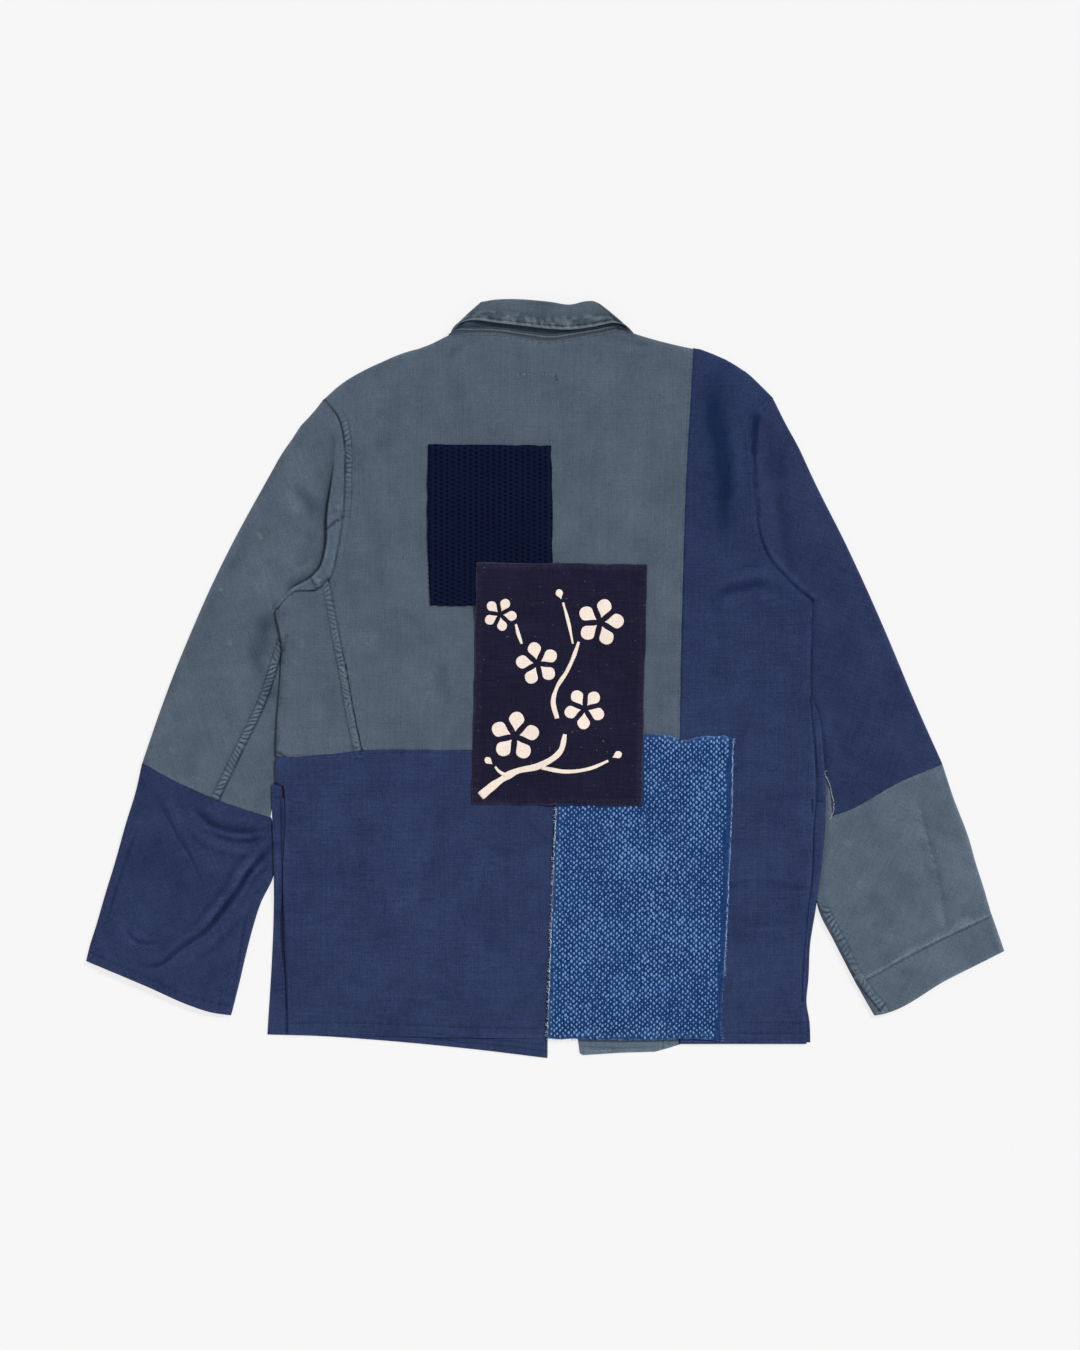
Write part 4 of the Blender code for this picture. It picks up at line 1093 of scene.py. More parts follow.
# A cotton's three colours (its own, its second, and its pale one for wear and painted highlight), what it
# turns to in painted shade, how far its warp is turned, and how strong its clouds, streaks, slubs and fluff
# are.
Cotton = namedtuple("Cotton", "colour tint worn deep turn cloud streak slub heather")
GREY_DEEP = (0.0, 0.1, 0.18)  # what is left of each cloth's red, green and blue in its darkest painted shade
NAVY_DEEP = (0.0, 0.24, 0.4)


def plain_weave(g, turn):
    """Noises that follow a woven cloth's threads: long and short warp streaks, weft slubs, and fine fluff."""
    streak = g.noise(g.mapped(turn, 2.4, 120), 1, 2, 0.6)
    fine_streak = g.noise(g.mapped(turn, 1.3, 20), 1, 2, 0.6)
    slub = g.noise(g.mapped(turn, 22, 1.5), 1, 2, 0.6)
    heather = g.noise(g.mapped(turn), 1.7, 2, 0.75)
    return streak, fine_streak, slub, heather


def shaded(g, colour, level, deep, strength=0.4, deepest=0.82):
    """A colour at a level, darker and towards its deep tone by its hollow value: painted shade and stains."""
    dark = g.math("MINIMUM", g.math("MULTIPLY", g.attribute("hollow"), strength), deepest)
    return g.scaled(g.mix(dark, colour, g.vector_math("MULTIPLY", colour, 1, deep)), level)


def cotton(name, look):
    """Plain woven cotton: mottled, streaked along the warp, slubbed across it, and rubbed at its edges."""
    g = Graph("cotton_" + name)
    plain = g.mapped(look.turn)
    cloud = g.noise(plain, 55, 3, 0.55)
    patch = g.noise(plain, 13, 3, 0.6)
    streak, fine_streak, slub, heather = plain_weave(g, look.turn)
    level = g.sum(
        1.0, (cloud, look.cloud), (patch, look.cloud * 0.8), (streak, look.streak),
        (fine_streak, look.streak), (slub, look.slub), (heather, look.heather),
    )
    tinted = g.mix(g.sum(0.5, (cloud, 2.0), (patch, 0.8)), (*look.colour, 1), (*look.tint, 1))
    # paler by wear at its edges, and by painted highlight on raised cloth and pale marks; shaded() paints its
    # shade
    worn = g.math("MULTIPLY", g.attribute("worn"), g.sum(0.55, (patch, 1.4), (heather, 1.4)))
    paled = g.mix(g.math("MINIMUM", g.math("MAXIMUM", worn, 0.0), 0.9), tinted, (*look.worn, 1))
    roughness = g.sum(0.9, (patch, 0.12), (heather, 0.1))
    g.coat(Base_Color=shaded(g, paled, level, look.deep), Roughness=roughness, Specular_IOR_Level=0.12)
    g.coat(Sheen_Weight=0.04, Sheen_Roughness=0.45)
    warp, weft = g.wave(plain, "X"), g.wave(plain, "Y")
    g.bump(g.sum(warp, (weft, 1.0), (heather, 3.0), (fine_streak, 2.5), (slub, 2.5)), 0.00022, 0.9)
    return g.material


def dyed(tones, level, blue=1.0):
    """A cloth's screen colours, each made lighter or darker, with some of its blue left out."""
    return [[c * level * part for c, part in zip(srgb(*tone), (1, 1, blue))] for tone in tones]


def grey(name, turn=0.0, level=1.0, blue=1.0):
    tones = dyed([(79, 93, 107), (86, 98, 111), (114, 128, 142)], level, blue)
    return cotton(name, Cotton(*tones, GREY_DEEP, turn, cloud=0.3, streak=0.22, slub=0.14, heather=0.7))


def navy(name, turn=0.0, level=1.0):
    tones = dyed([(42, 54, 92), (47, 60, 96), (62, 74, 112)], level)
    return cotton(name, Cotton(*tones, NAVY_DEEP, turn, cloud=0.4, streak=0.32, slub=0.6, heather=1.15))


def knit_material():
    """Dark wool, with painted shade down its holes, painted highlight on its loops and wear at its edges."""
    g = Graph("knit")
    plain = g.mapped()
    cloud = g.noise(plain, 30, 2)
    fuzz = g.noise(plain, 1.2, 3, 0.7)
    level = g.sum(1.0, (cloud, 0.35), (fuzz, 0.7), (g.attribute("worn"), 0.5))
    wool = g.mix(g.sum(0.5, (cloud, 1.0)), rgba(9, 16, 38), rgba(11, 18, 42))
    colour = shaded(g, wool, level, NAVY_DEEP, 0.62, 0.9)
    g.coat(Base_Color=colour, Roughness=0.95, Specular_IOR_Level=0.05)
    g.bump(fuzz, 0.0004, 0.8)
    return g.material


def indigo_material():
    """A thin, dark, plain woven cloth with a few pale specks."""
    g = Graph("dark_indigo")
    cloud = g.noise(g.mapped(), 40, 3)
    streak, warp, weft, heather = plain_weave(g, 0.0)
    level = g.sum(1.0, (cloud, 0.4), (streak, 0.3), (warp, 0.6), (weft, 0.9), (heather, 0.7))
    # paler by wear at its edges, and by painted highlight on raised cloth and pale marks
    worn = g.math("MULTIPLY", g.attribute("worn"), g.sum(0.4, (cloud, 1.0), (heather, 1.5)))
    base = g.mix(g.math("MAXIMUM", worn, 0.0), rgba(28, 26, 46), rgba(66, 62, 82))
    speck = g.noise(g.mapped(), 3.2, 1, 0.5)
    fleck = g.math("MAXIMUM", g.sum(-1.9, (speck, 8.0)), 0.0)
    flecked = g.mix(g.math("MINIMUM", fleck, 0.5), base, rgba(120, 112, 122))
    colour = shaded(g, flecked, level, GREY_DEEP, 0.35)
    g.coat(Base_Color=colour, Roughness=0.95, Specular_IOR_Level=0.07)
    g.bump(g.sum(0.0, (warp, 1.0), (weft, 1.5), (heather, 1.0)), 0.0004, 0.9)
    return g.material


def sashiko_material():
    """The deep blue ground under the pale stitches, clouded where the dye has washed out."""
    g = Graph("sashiko_blue")
    plain = g.mapped()
    cloud = g.noise(plain, 30, 4, 0.6)
    speck = g.noise(plain, 5.5, 2, 0.6)
    _, warp, weft, heather = plain_weave(g, 0.0)
    level = g.sum(1.0, (cloud, 0.2), (speck, 0.4), (warp, 0.5), (weft, 0.5), (heather, 0.5))
    # paler by wear at its edges, and by painted highlight on raised cloth and pale marks
    worn = g.math("MULTIPLY", g.attribute("worn"), g.sum(0.35, (speck, 1.5)))
    base = g.mix(g.sum(0.5, (cloud, 0.8)), rgba(17, 44, 88), rgba(27, 60, 108))
    paled = g.mix(g.math("MAXIMUM", worn, 0.0), base, rgba(100, 134, 180))
    colour = shaded(g, paled, level, NAVY_DEEP, 0.35)
    g.coat(Base_Color=colour, Roughness=0.95, Specular_IOR_Level=0.08)
    g.bump(g.sum(0.0, (warp, 1.0), (weft, 1.0), (speck, 0.6)), 0.0004, 0.8)
    return g.material


def thread_material(name, red, green, blue, spread=0.35):
    """Twisted thread, uneven in colour along its length."""
    g = Graph("thread_" + name)
    plain = g.mapped()
    uneven = g.noise(plain, 6, 2)
    twist = g.noise(plain, 0.6, 2, 0.6)
    colour = g.scaled(srgb(red, green, blue), g.sum(1.0, (uneven, spread), (twist, 0.3)))
    g.coat(Base_Color=colour, Roughness=0.9, Specular_IOR_Level=0.1)
    g.bump(twist, 0.0002, 0.6)
    return g.material


def print_material():
    """Cream colour printed on the cloth, thinner between its threads."""
    g = Graph("cream_print")
    cloud = g.noise(g.mapped(), 22, 3)
    warp = g.noise(g.mapped(0, 0.9, 14), 1, 2, 0.6)
    weft = g.noise(g.mapped(0, 14, 0.9), 1, 2, 0.6)
    colour = g.scaled(srgb(238, 223, 210), g.sum(0.97, (cloud, 0.14), (warp, 0.28), (weft, 0.34)))
    g.coat(Base_Color=colour, Roughness=0.92, Specular_IOR_Level=0.15)
    g.bump(g.sum(0.0, (warp, 1.0), (weft, 1.0)), 0.0002, 0.5)
    return g.material


ARM_TURN = radians(17)  # the sleeves' warp leans this far from the back's

GREY_BACK = grey("grey_back", level=1.03)
GREY_ARM = grey("grey_arm", -ARM_TURN, 1.06)
GREY_CUFF = grey("grey_cuff", ARM_TURN * 1.5, 1.19)
GREY_COLLAR = grey("grey_collar", blue=0.95)
GREY_STAND = grey("grey_stand", level=0.92)
GREY_FRONT = grey("grey_front", level=1.42)
NAVY_BACK = navy("navy_back", level=1.02)
NAVY_STRIP = navy("navy_strip", level=1.04)
NAVY_ARM = navy("navy_arm", ARM_TURN, 0.9)
NAVY_CUFF = navy("navy_cuff", -ARM_TURN * 1.3, 0.92)
NAVY_FRONT = navy("navy_front")
KNIT = knit_material()
INDIGO = indigo_material()
SASHIKO = sashiko_material()
GREY_THREAD = thread_material("grey", 52, 62, 74)
PALE_GREY_THREAD = thread_material("pale_grey", 150, 158, 164, 0.6)
NAVY_THREAD = thread_material("navy", 28, 35, 64)
BROWN_THREAD = thread_material("brown", 98, 80, 78)
MAROON_THREAD = thread_material("maroon", 46, 20, 34)
BLACK_THREAD = thread_material("black", 20, 20, 40)
DOT_THREAD = thread_material("dots", 100, 139, 189, 0.5)
BAND_THREAD = thread_material("band", 31, 63, 112, 0.8)
PALE_BLUE_THREAD = thread_material("pale_blue", 132, 160, 200, 0.9)
WHITE_THREAD = thread_material("white", 190, 200, 214, 0.7)
FRAYED_THREAD = thread_material("frayed", 172, 166, 162, 0.9)
CREAM_PRINT = print_material()

# --- Sheets and tubes ---

PIECES = {}  # the finished cloth of each CAD node

CAVITY = 0.34  # how far below the cloth round it cloth lies where its painted shade is full
SEAM_REACH = 0.45  # each sheet's outline is moved out this far, so that sewn edges meet
EDGE_WEAR, EDGE_WEAR_REACH = 0.8, 1.7  # how much wear an edge shows, and how far in from it
# The paling on raised cloth is partly rubbing and partly painted highlight.
RIDGE_WEAR_AND_HIGHLIGHT = 0.45  # how much paler cloth is that stands well above the cloth round it

# Where the sheets' outlines leave their solids': the point, how far round it they move, and the move.
Nudge = namedtuple("Nudge", "x y reach dx dy")
NUDGES = {
    "sleeve_left_upper": [Nudge(-236, 274, 10, -2.0, 0.8), Nudge(-256, 248, 15, 2.0, 0)],
    "sleeve_right_upper": [Nudge(243, 256, 26, -3.6, -1.0)],
    "sleeve_left_lower": [Nudge(-281, -141, 9, 0.9, 0)],
}

# Stretches of outline, anticlockwise, that are sharper than the solids': the shoulder and the front's hem.
REDRAWN = {
    "back_right": [(201, 315), (184, 325.8), (170, 331.8), (158, 336.2), (150.4, 337.4), (150, 320)],
    "front_right": [(32, -362), (33.2, -367.6), (35.2, -381.5), (38.6, -383.4), (75, -381), (112, -379.8),
                    (126, -376), (149.5, -368.4)],
}

# Under the waist, the back covers the strip at the side: outline in this corner moves out to this line.
COVERED_LEFT_OF, COVERED_BELOW, COVERED_ABOVE = -258, -80, -107.5
COVER_EDGE = -274.6


def redrawn(ring, line, step):
    """A closed outline with its way from a line's first end to its last replaced by the line."""
    first, last = (int(np.hypot(*(ring - end).T).argmin()) for end in (line[0], line[-1]))
    rest = np.roll(ring, -first, axis=0)[(last - first) % len(ring) :]
    made = [curve([a, b], step)[:-1] for a, b in zip(line, line[1:])]
    return np.vstack([*made, rest])


def grown(ring, name):
    """An outline moved outwards a little, and where the tables say so."""
    ring = ring + outwards_of(ring) * SEAM_REACH
    for nudge in NUDGES.get(name, ()):
        near = bump(np.hypot(ring[:, 0] - nudge.x, ring[:, 1] - nudge.y), nudge.reach)
        ring = ring + near[:, None] * (nudge.dx, nudge.dy)
    if name == "back_lower_left":
        x, y = ring[:, 0], ring[:, 1]
        x[(x < COVERED_LEFT_OF) & (y < COVERED_BELOW) & (y > COVERED_ABOVE)] = COVER_EDGE
    return ring


def surface_values(lift, faces, to_edge, mark=0.0):
    """Paleness (wear, painted highlight) and darkness (painted shade, marks) for its material, from 0 up."""
    # Cloth below the cloth round it gets painted shade; cloth above it gets painted highlight, with rubbing.
    sunk = (relax(lift, faces, None, 14) - lift) / CAVITY
    at_edge = EDGE_WEAR * np.exp(-to_edge / EDGE_WEAR_REACH)
    return {
        "worn": at_edge + RIDGE_WEAR_AND_HIGHLIGHT * np.clip(-sunk, 0, 1) + np.clip(-mark, 0, 2),
        "hollow": np.clip(sunk, 0, 1.1) + np.clip(mark, 0, 2),
    }


def height_of_edge(to_edge):
    return -EDGE_DROP * bump(to_edge, EDGE_ROLL)


def used_only(points, faces, values):
    """A mesh without the points that none of its faces uses."""
    used = np.unique(faces)
    number = np.zeros(len(points), int)
    number[used] = np.arange(len(used))
    return points[used], number[faces], {key: column[used] for key, column in values.items()}


def add_cloth(node, material, points, faces, values, thickness=CLOTH, inwards=False, name=None):
    """Make a node's cloth, a wall, from its sheet."""
    points, faces, values = shell(points, faces, values, thickness, inwards)
    PIECES[node] = new_piece(name or node + "_cloth", material, points, faces, values)


def flat_sheet(
    node, relief, material, spacing=PLAIN, fine=(), thickness=CLOTH, side=1, ring=None, marks=shading
):
    """A node's cloth as one sheet. side is which of its faces is matched: 1 the upper, -1 the lower."""
    solid = SOLIDS[node]
    if ring is None:
        ring = grown(solid.outline(spacing), node)
        if node in REDRAWN:
            ring = redrawn(ring, REDRAWN[node], spacing)
    xy, faces = fill(ring, spacing, fine)
    plain = relax(solid.height(xy, side) - side * thickness / 2, faces)
    to_edge = measure(closed(ring), xy)[0]
    lift = relief(xy)
    z = np.maximum(plain + lift + height_of_edge(to_edge), thickness / 2 + FLOOR_GAP)
    values = surface_values(lift, faces, to_edge, marks(xy))
    add_cloth(node, material, np.column_stack([xy, z]), faces, values, thickness)


FOLD_ROUND = 2.4  # a sleeve's long folds are round this far in
END_REACH = 1.6  # nothing this near to an open end is part of a fold
ON_LINE = 0.02  # a point this near to a line is on it
SLEEVE_INSETS = (0.4, 1.1, 2.2)  # rows of mesh points inside a sleeve's folds, which make them round
FOLD_FREE = 9  # a sleeve's relief grows from nothing at its folds over this width
FIXED_REACH = 0.9  # a sleeve's heights stay unsmoothed this near to the lines that its mesh follows
LAYER_GAP = 0.15  # between the inner sides of a sleeve's two layers
UNDER_SHIFT = (11, 17)  # the under layer's folds are the upper one's, moved by this


def nearest(lines, xy):
    """The distance to the nearest of several lines."""
    return np.min([measure(line, xy)[0] for line in lines], axis=0)


def tube(node, ends, relief, material, spacing=PLAIN, fine=(), lines=()):
    """A sleeve that lies flat: an upper and a lower layer that share the folds between its open ends."""
    solid = SOLIDS[node]
    ring = grown(solid.outline(spacing), node)
    xy, faces = fill(ring, spacing, fine, lines, SLEEVE_INSETS)
    to_edge = measure(closed(ring), xy)[0]
    to_end = nearest(ends, xy)
    on_fold = (to_edge < ON_LINE) & (to_end > END_REACH)
    folds = ring[nearest(ends, ring) > END_REACH]
    to_fold = np.min([np.hypot(*(xy - fold).T) for fold in folds], axis=0)
    fixed = nearest(lines, xy) < FIXED_REACH if lines else None
    upper = relax(solid.height(xy, 1), faces, fixed, 10)
    lower = relax(solid.height(xy, -1), faces, None, 10)
    middle = (upper + lower) / 2
    share = np.clip(to_fold / FOLD_ROUND, 0, 1)
    roundness = np.sqrt(np.clip(1 - (1 - share) ** 2, 0, 1))
    flat = ramp(to_fold, 0, FOLD_FREE)
    lift = relief(xy) * flat
    top = middle + (upper - middle) * roundness + lift + height_of_edge(to_end)
    under_lift = 0.5 * np.clip(relief(xy + UNDER_SHIFT), 0, 1) * flat
    base = np.maximum(middle + (lower - middle) * roundness + under_lift, 0)
    top = np.maximum(top, base + (2 * CLOTH + LAYER_GAP) * ramp(to_fold, 1.5, 7))
    top[on_fold] = base[on_fold] = middle[on_fold]
    number = np.arange(len(xy)) + len(xy)
    number[on_fold] = np.flatnonzero(on_fold)
    points = np.vstack([np.column_stack([xy, top]), np.column_stack([xy, base])])
    both = np.vstack([faces, number[faces[:, ::-1]]])
    edge = np.minimum(to_edge, to_end)
    over = surface_values(lift, faces, edge, shading(xy))
    under = surface_values(-under_lift, faces, edge)
    values = {key: np.concatenate([over[key], under[key]]) for key in over}
    add_cloth(node, material, *used_only(points, both, values), inwards=True)


SIDE_FOLD_LEFT_OF, SIDE_FOLD_TOP, SIDE_FOLD_FOOT = -262, 72.5, -78.5
SIDE_FOLD_HEIGHT = 4.35  # between the layer underneath and the one on top
SIDE_WAIST = [(-262, -79.6), (-243, -79.0), (-224, -78.0), (-205, -76.4), (-190, -74.0)]
FAR = 9  # further from an edge than its wear reaches


def wrapped_front():
    """The left front, which goes round the side's fold and on to the back as far as the side seam."""
    solid = SOLIDS["front_left_upper"]
    ring = solid.outline(4)
    x, y = ring[:, 0], ring[:, 1]
    at_fold = (x < SIDE_FOLD_LEFT_OF) & (y < SIDE_FOLD_TOP) & (y > SIDE_FOLD_FOOT)
    first = int(np.flatnonzero(at_fold & ~np.roll(at_fold, 1))[0])
    fold = np.roll(ring, -first, axis=0)[: int(at_fold.sum())]
    seam = curve(SIDE_SEAM, 3)
    over_ring = np.vstack([fold, SIDE_WAIST, seam])
    under_xy, under_faces = fill(ring, HIDDEN)
    over_xy, over_faces = fill(over_ring, PLAIN, [(SIDE, 11)])
    under = solid.height(under_xy, -1) + CLOTH / 2 + FLOOR_GAP
    to_seam = measure(seam, over_xy)[0]
    lift = back_relief(over_xy) * ramp(measure(fold, over_xy)[0], 0, 6)
    over = relax(solid.height(over_xy, 1) - CLOTH / 2, over_faces) + lift + height_of_edge(to_seam)
    under_on_fold = measure(fold, under_xy)[0] < ON_LINE / 2
    over_on_fold = measure(fold, over_xy)[0] < ON_LINE / 2
    under[under_on_fold] = over[over_on_fold] = SIDE_FOLD_HEIGHT
    number = np.arange(len(over_xy)) + len(under_xy)
    place = {tuple(np.round(under_xy[k], 3)): k for k in np.flatnonzero(under_on_fold)}
    for k in np.flatnonzero(over_on_fold):
        number[k] = place.get(tuple(np.round(over_xy[k], 3)), number[k])
    points = np.vstack([np.column_stack([under_xy, under]), np.column_stack([over_xy, over])])
    both = np.vstack([under_faces[:, ::-1], number[over_faces]])
    hidden = np.zeros(len(under))
    edge = np.minimum(measure(closed(over_ring), over_xy)[0], to_seam)
    mark = np.concatenate([hidden, shading(over_xy)])
    values = surface_values(np.concatenate([hidden, lift]), both, np.concatenate([hidden + FAR, edge]), mark)
    add_cloth("front_left_upper", GREY_BACK, *used_only(points, both, values))


# --- The collar ---

# The neck seam, the ridge that the leaf folds over, the free edge of the leaf, and the side of the stand
# that the leaf lies on, three values each, from the left front round the back to the right front.
COLLAR = [
    (0, 262, 2.1, -2, 285, 1.35, -8, 229, 0.6, 0, 0, -0.75),
    (-45, 272, 2.1, -25, 308, 1.35, -60, 243, 0.6, 0, 0, -0.75),
    (-80, 302, 2.1, -45, 340, 1.35, -101, 288, 0.6, 0, 0, -0.75),
    (-94, 330, 2.1, -58, 366, 1.35, -108, 320, 0.6, -0.1, 0.1, -0.75),
    (-97.6, 348, 2.3, -64, 376.5, 1.7, -98.5, 345.5, 0.6, -0.7, 0.7, -0.75),
    (-97.5, 351.4, 3.6, -66.3, 379.3, 3.9, -96.5, 351.5, 3.9, -1, 1, 0),
    (-95, 352.6, 5.1, -66, 380.6, 6.8, -94.8, 354.3, 7.0, -0.7, 0.7, 0.9),
    (-72, 354, 5.1, -59.5, 384.2, 8.0, -78, 364.8, 7.6, 0, 0, 1.5),
    (-46, 353, 5.1, -44, 386, 8.6, -47, 362, 8.0, 0, 0, 1.6),
    (-18, 349, 5.1, -20, 385.6, 8.8, -17, 358.5, 8.2, 0, 0, 1.7),
    (5, 346.2, 5.1, 4, 383.4, 8.8, 6, 356, 8.2, 0, 0, 1.7),
    (30, 349.6, 5.1, 24, 380.5, 8.6, 28, 355.6, 8.1, 0, 0, 1.7),
    (56, 354, 5.1, 42, 384, 8.4, 50, 358.5, 8.0, 0, 0, 1.6),
    (76, 357, 5.1, 52, 383, 8.0, 74, 362, 7.6, 0, 0, 1.5),
    (86.5, 353.4, 5.1, 57, 378.6, 6.8, 84.5, 356.3, 7.0, 0.7, 0.7, 1.0),
    (88.5, 351.8, 3.6, 59.5, 376, 3.9, 89.5, 352.3, 3.9, 1, 1, 0),
    (88.5, 347.5, 2.3, 58.5, 371.5, 1.7, 92, 346.5, 0.6, 0.7, 0.7, -0.75),
    (90, 330, 2.1, 56, 362, 1.35, 104, 320, 0.6, 0.1, 0.1, -0.75),
    (78, 302, 2.1, 50, 338, 1.35, 100, 288, 0.6, 0, 0, -0.75),
    (56, 278, 2.1, 42, 308, 1.35, 72, 248, 0.6, 0, 0, -0.75),
    (33, 264, 2.1, 24, 282, 1.35, 42, 231, 0.6, 0, 0, -0.75),
]
COLLAR_SEAM = 1.7  # between the stand's top edge and the leaf's start
COLLAR_STEP = 2.0
LEAF_STITCH = 3.8  # the leaf's edge stitching, from its free edge
ROLL_ANGLES = (-90, -58, -26, 0, 26, 58)
LEAF_SHARES = np.linspace(0, 1, 19) ** 0.9
STAND_SHARES = np.concatenate([[-0.16, -0.1, -0.05], np.linspace(0, 0.3, 19), np.linspace(0.36, 1, 8)])

# A line of points along the collar, with its lift, its distance from an edge, and its mark.
Strip = namedtuple("Strip", "place lift edge mark")


def grid_faces(rows, columns):
    """Two triangles for each cell of a grid of points."""
    first = (np.arange(rows - 1)[:, None] * columns + np.arange(columns - 1)).ravel()
    a, b, c, d = first, first + 1, first + columns + 1, first + columns
    return np.vstack([np.stack([a, b, c], axis=1), np.stack([a, c, d], axis=1)])


def in_plan(vectors):
    return vectors * (1, 1, 0)


def collar_cloth(node, name, material, strips):
    """A piece of the collar from its lines of points."""
    place, lift, edge, mark = (np.stack(column, axis=1) for column in zip(*strips))
    points = place.reshape(-1, 3)
    points[:, 2] = np.maximum(points[:, 2], CLOTH / 2 + FLOOR_GAP)
    faces = grid_faces(*lift.shape)
    values = surface_values(lift.ravel(), faces, edge.ravel(), mark.ravel())
    add_cloth(node, material, points, faces, values, name=name)


def roll_strips(start, ridge, back):
    """The leaf's roll over the ridge, from the stand's side to the back's."""
    centre = (start + back) / 2
    level = np.zeros(len(ridge))
    for angle in np.radians(ROLL_ANGLES):
        place = centre + (ridge - centre) * cos(angle) + (back - centre) * sin(angle)
        yield Strip(place, level, level + 1.5 + 3 * cos(angle), level)


def leaf_strips(back, free, outwards, showing, along):
    """The leaf from its roll to its free edge, with its dents, its edge stitching and its rubbed, pale
    patches.
    """
    width = np.linalg.norm(free - back, axis=1)
    for share in LEAF_SHARES:
        from_free = (1 - share) * width
        dents = 0.45 * noise(along, share * 8, 17, 301) + 0.3 * noise(along, share * 3, 42, 302)
        crown = 0.9 * np.sin(pi * min(share * 1.1, 1)) + 0.7 * bump(from_free - 1.2, 1.6)
        groove = -0.6 * bump(from_free - LEAF_STITCH, 1.0)
        pucker = 0.3 * np.sin(2 * pi * along / 6.5 + 2 * wander(along, 20, 303)) * bump(from_free - 3, 4)
        lift = (crown + groove + pucker + dents + 0.8 * share) * (0.15 + 0.85 * showing)
        patchy = np.clip(0.3 + 1.4 * noise(along, from_free, 4.0, 306), 0, 1.2) * bump(from_free - 5.5, 5.5)
        pale = 1.6 * bump(from_free - 0.6, 0.9) + 1.3 * patchy - 0.8 * bump(from_free - 9, 6) * (patchy < 0.1)
        place = back + (free - back) * share + outwards * lift[:, None]
        mark = (0.8 * bump(from_free - LEAF_STITCH, 0.8) - pale) * showing
        yield Strip(place, (dents + groove + pucker) * showing, np.minimum(from_free, 6), mark)


def stand_strips(neck, top, outwards, showing, along):
    """The stand, from inside the neck seam up to the leaf, with the dark grooves of its stitching."""
    width = np.linalg.norm(top - neck, axis=1)
    for share in STAND_SHARES:
        from_neck = share * width
        ridges = 0.35 * bump(from_neck - 1.8, 1.4) + 0.3 * bump(from_neck - 6, 1.2)
        uneven = 0.12 * noise(along, along * 0 + share * 9, 9, 305)
        lift = (ridges - 0.3 * bump(from_neck - 4.2, 0.9) + uneven) * showing
        tucked = outwards * 2.4 * ramp(-share, 0, 0.16)
        place = neck + (top - neck) * share - tucked + outwards * lift[:, None]
        seams = 1.7 * (bump(from_neck - 0.9, 0.6) + bump(from_neck - 3.6, 0.7) + bump(from_neck - 5.8, 0.6))
        between = bump(from_neck - 2.3, 0.7) + bump(from_neck - 4.7, 0.5)
        # darker towards the leaf: painted shadow under the leaf's free edge
        mark = seams - 0.8 * between + 1.1 * ramp(from_neck, 3.0, 8.0) + 0.2
        yield Strip(place, lift - 0.5, np.full(len(lift), 6.0), mark)


def make_collar():
    """The leaf, rolled over the ridge, and the stand that it folds over."""
    neck, ridge, free, out = np.split(curve(COLLAR, COLLAR_STEP), 4, axis=1)
    roll = np.linalg.norm(out, axis=1, keepdims=True)
    start = ridge + unit(in_plan(neck - ridge)) * roll - out
    back = ridge + unit(in_plan(free - ridge)) * roll + out
    top = start + unit(in_plan(neck - start)) * COLLAR_SEAM
    outwards = unit(out)
    showing = ramp(out[:, 2], 0.2, 1.4)  # 1 where the leaf lies on the back
    along = np.concatenate([[0], np.cumsum(np.linalg.norm(np.diff(ridge, axis=0), axis=1))])
    leaf = [*roll_strips(start, ridge, back), *leaf_strips(back, free, outwards, showing, along)]
    collar_cloth("collar_fall", "collar_leaf_cloth", GREY_COLLAR, leaf)
    stand = stand_strips(neck, top, outwards, showing, along)
    collar_cloth("collar_stand", "collar_stand_cloth", GREY_STAND, stand)


# --- The patches ---

KNIT_ACROSS, KNIT_DOWN = 5.9, 4.6  # from hole to hole in the knit
DOT_ACROSS, DOT_DOWN = 5.8, 2.7  # from pale stitch to pale stitch in the woven patch

# The pale stitches end here; the edge beyond is turned in and oversewn.
SASHIKO_BAND = [(172.8, -372), (176.8, -290), (180.3, -210), (184.8, -110), (186.3, -54)]


def uneven_edge(corners, step, amount, seed):
    """A patch's outline: straight from corner to corner, but cut and folded by hand."""
    ring = []
    for a, b in zip(corners, [*corners[1:], corners[0]]):
        side = curve([a, b], step)[:-1]
        middle = np.minimum(np.arange(len(side)), len(side) - np.arange(len(side))) / 4
        off = amount * wander(side[:, 0] + side[:, 1], 13, seed) * np.clip(middle, 0, 1)
        run = np.array(b, float) - a
        ring.append(side + np.array([-run[1], run[0]]) / hypot(*run) * off[:, None])
    return np.vstack(ring)[::-1]


def knit_relief(xy):
    """The knit's holes and the loops between them. Every second column of holes is half a hole lower."""
    column = np.round(xy[:, 0] / KNIT_ACROSS)
    across = xy[:, 0] / KNIT_ACROSS - column
    down = xy[:, 1] / KNIT_DOWN - 0.5 * (column % 2)
    down = down - np.round(down)
    hole = np.exp(-((across / 0.24) ** 2) - (down / 0.27) ** 2)
    loop = 0.35 * np.cos(2 * pi * across) * np.cos(2 * pi * down)
    uneven = 1 + 0.3 * noise(xy[:, 0], xy[:, 1], 9, 401)
    return (0.35 - 1.7 * hole - loop) * uneven


def sashiko_relief(xy):
    return 0.12 * noise(xy[:, 0], xy[:, 1], 3.5, 433)


def sashiko_band(xy):
    """How far into the dark band along its right edge, beyond the pale stitches, a point of the patch is."""
    distance, side, _ = measure(SASHIKO_BAND, xy)
    return ramp(-distance * side, -0.8, 0.8)


PATCH_STITCH = 2.4  # from a patch's edge to its stitches


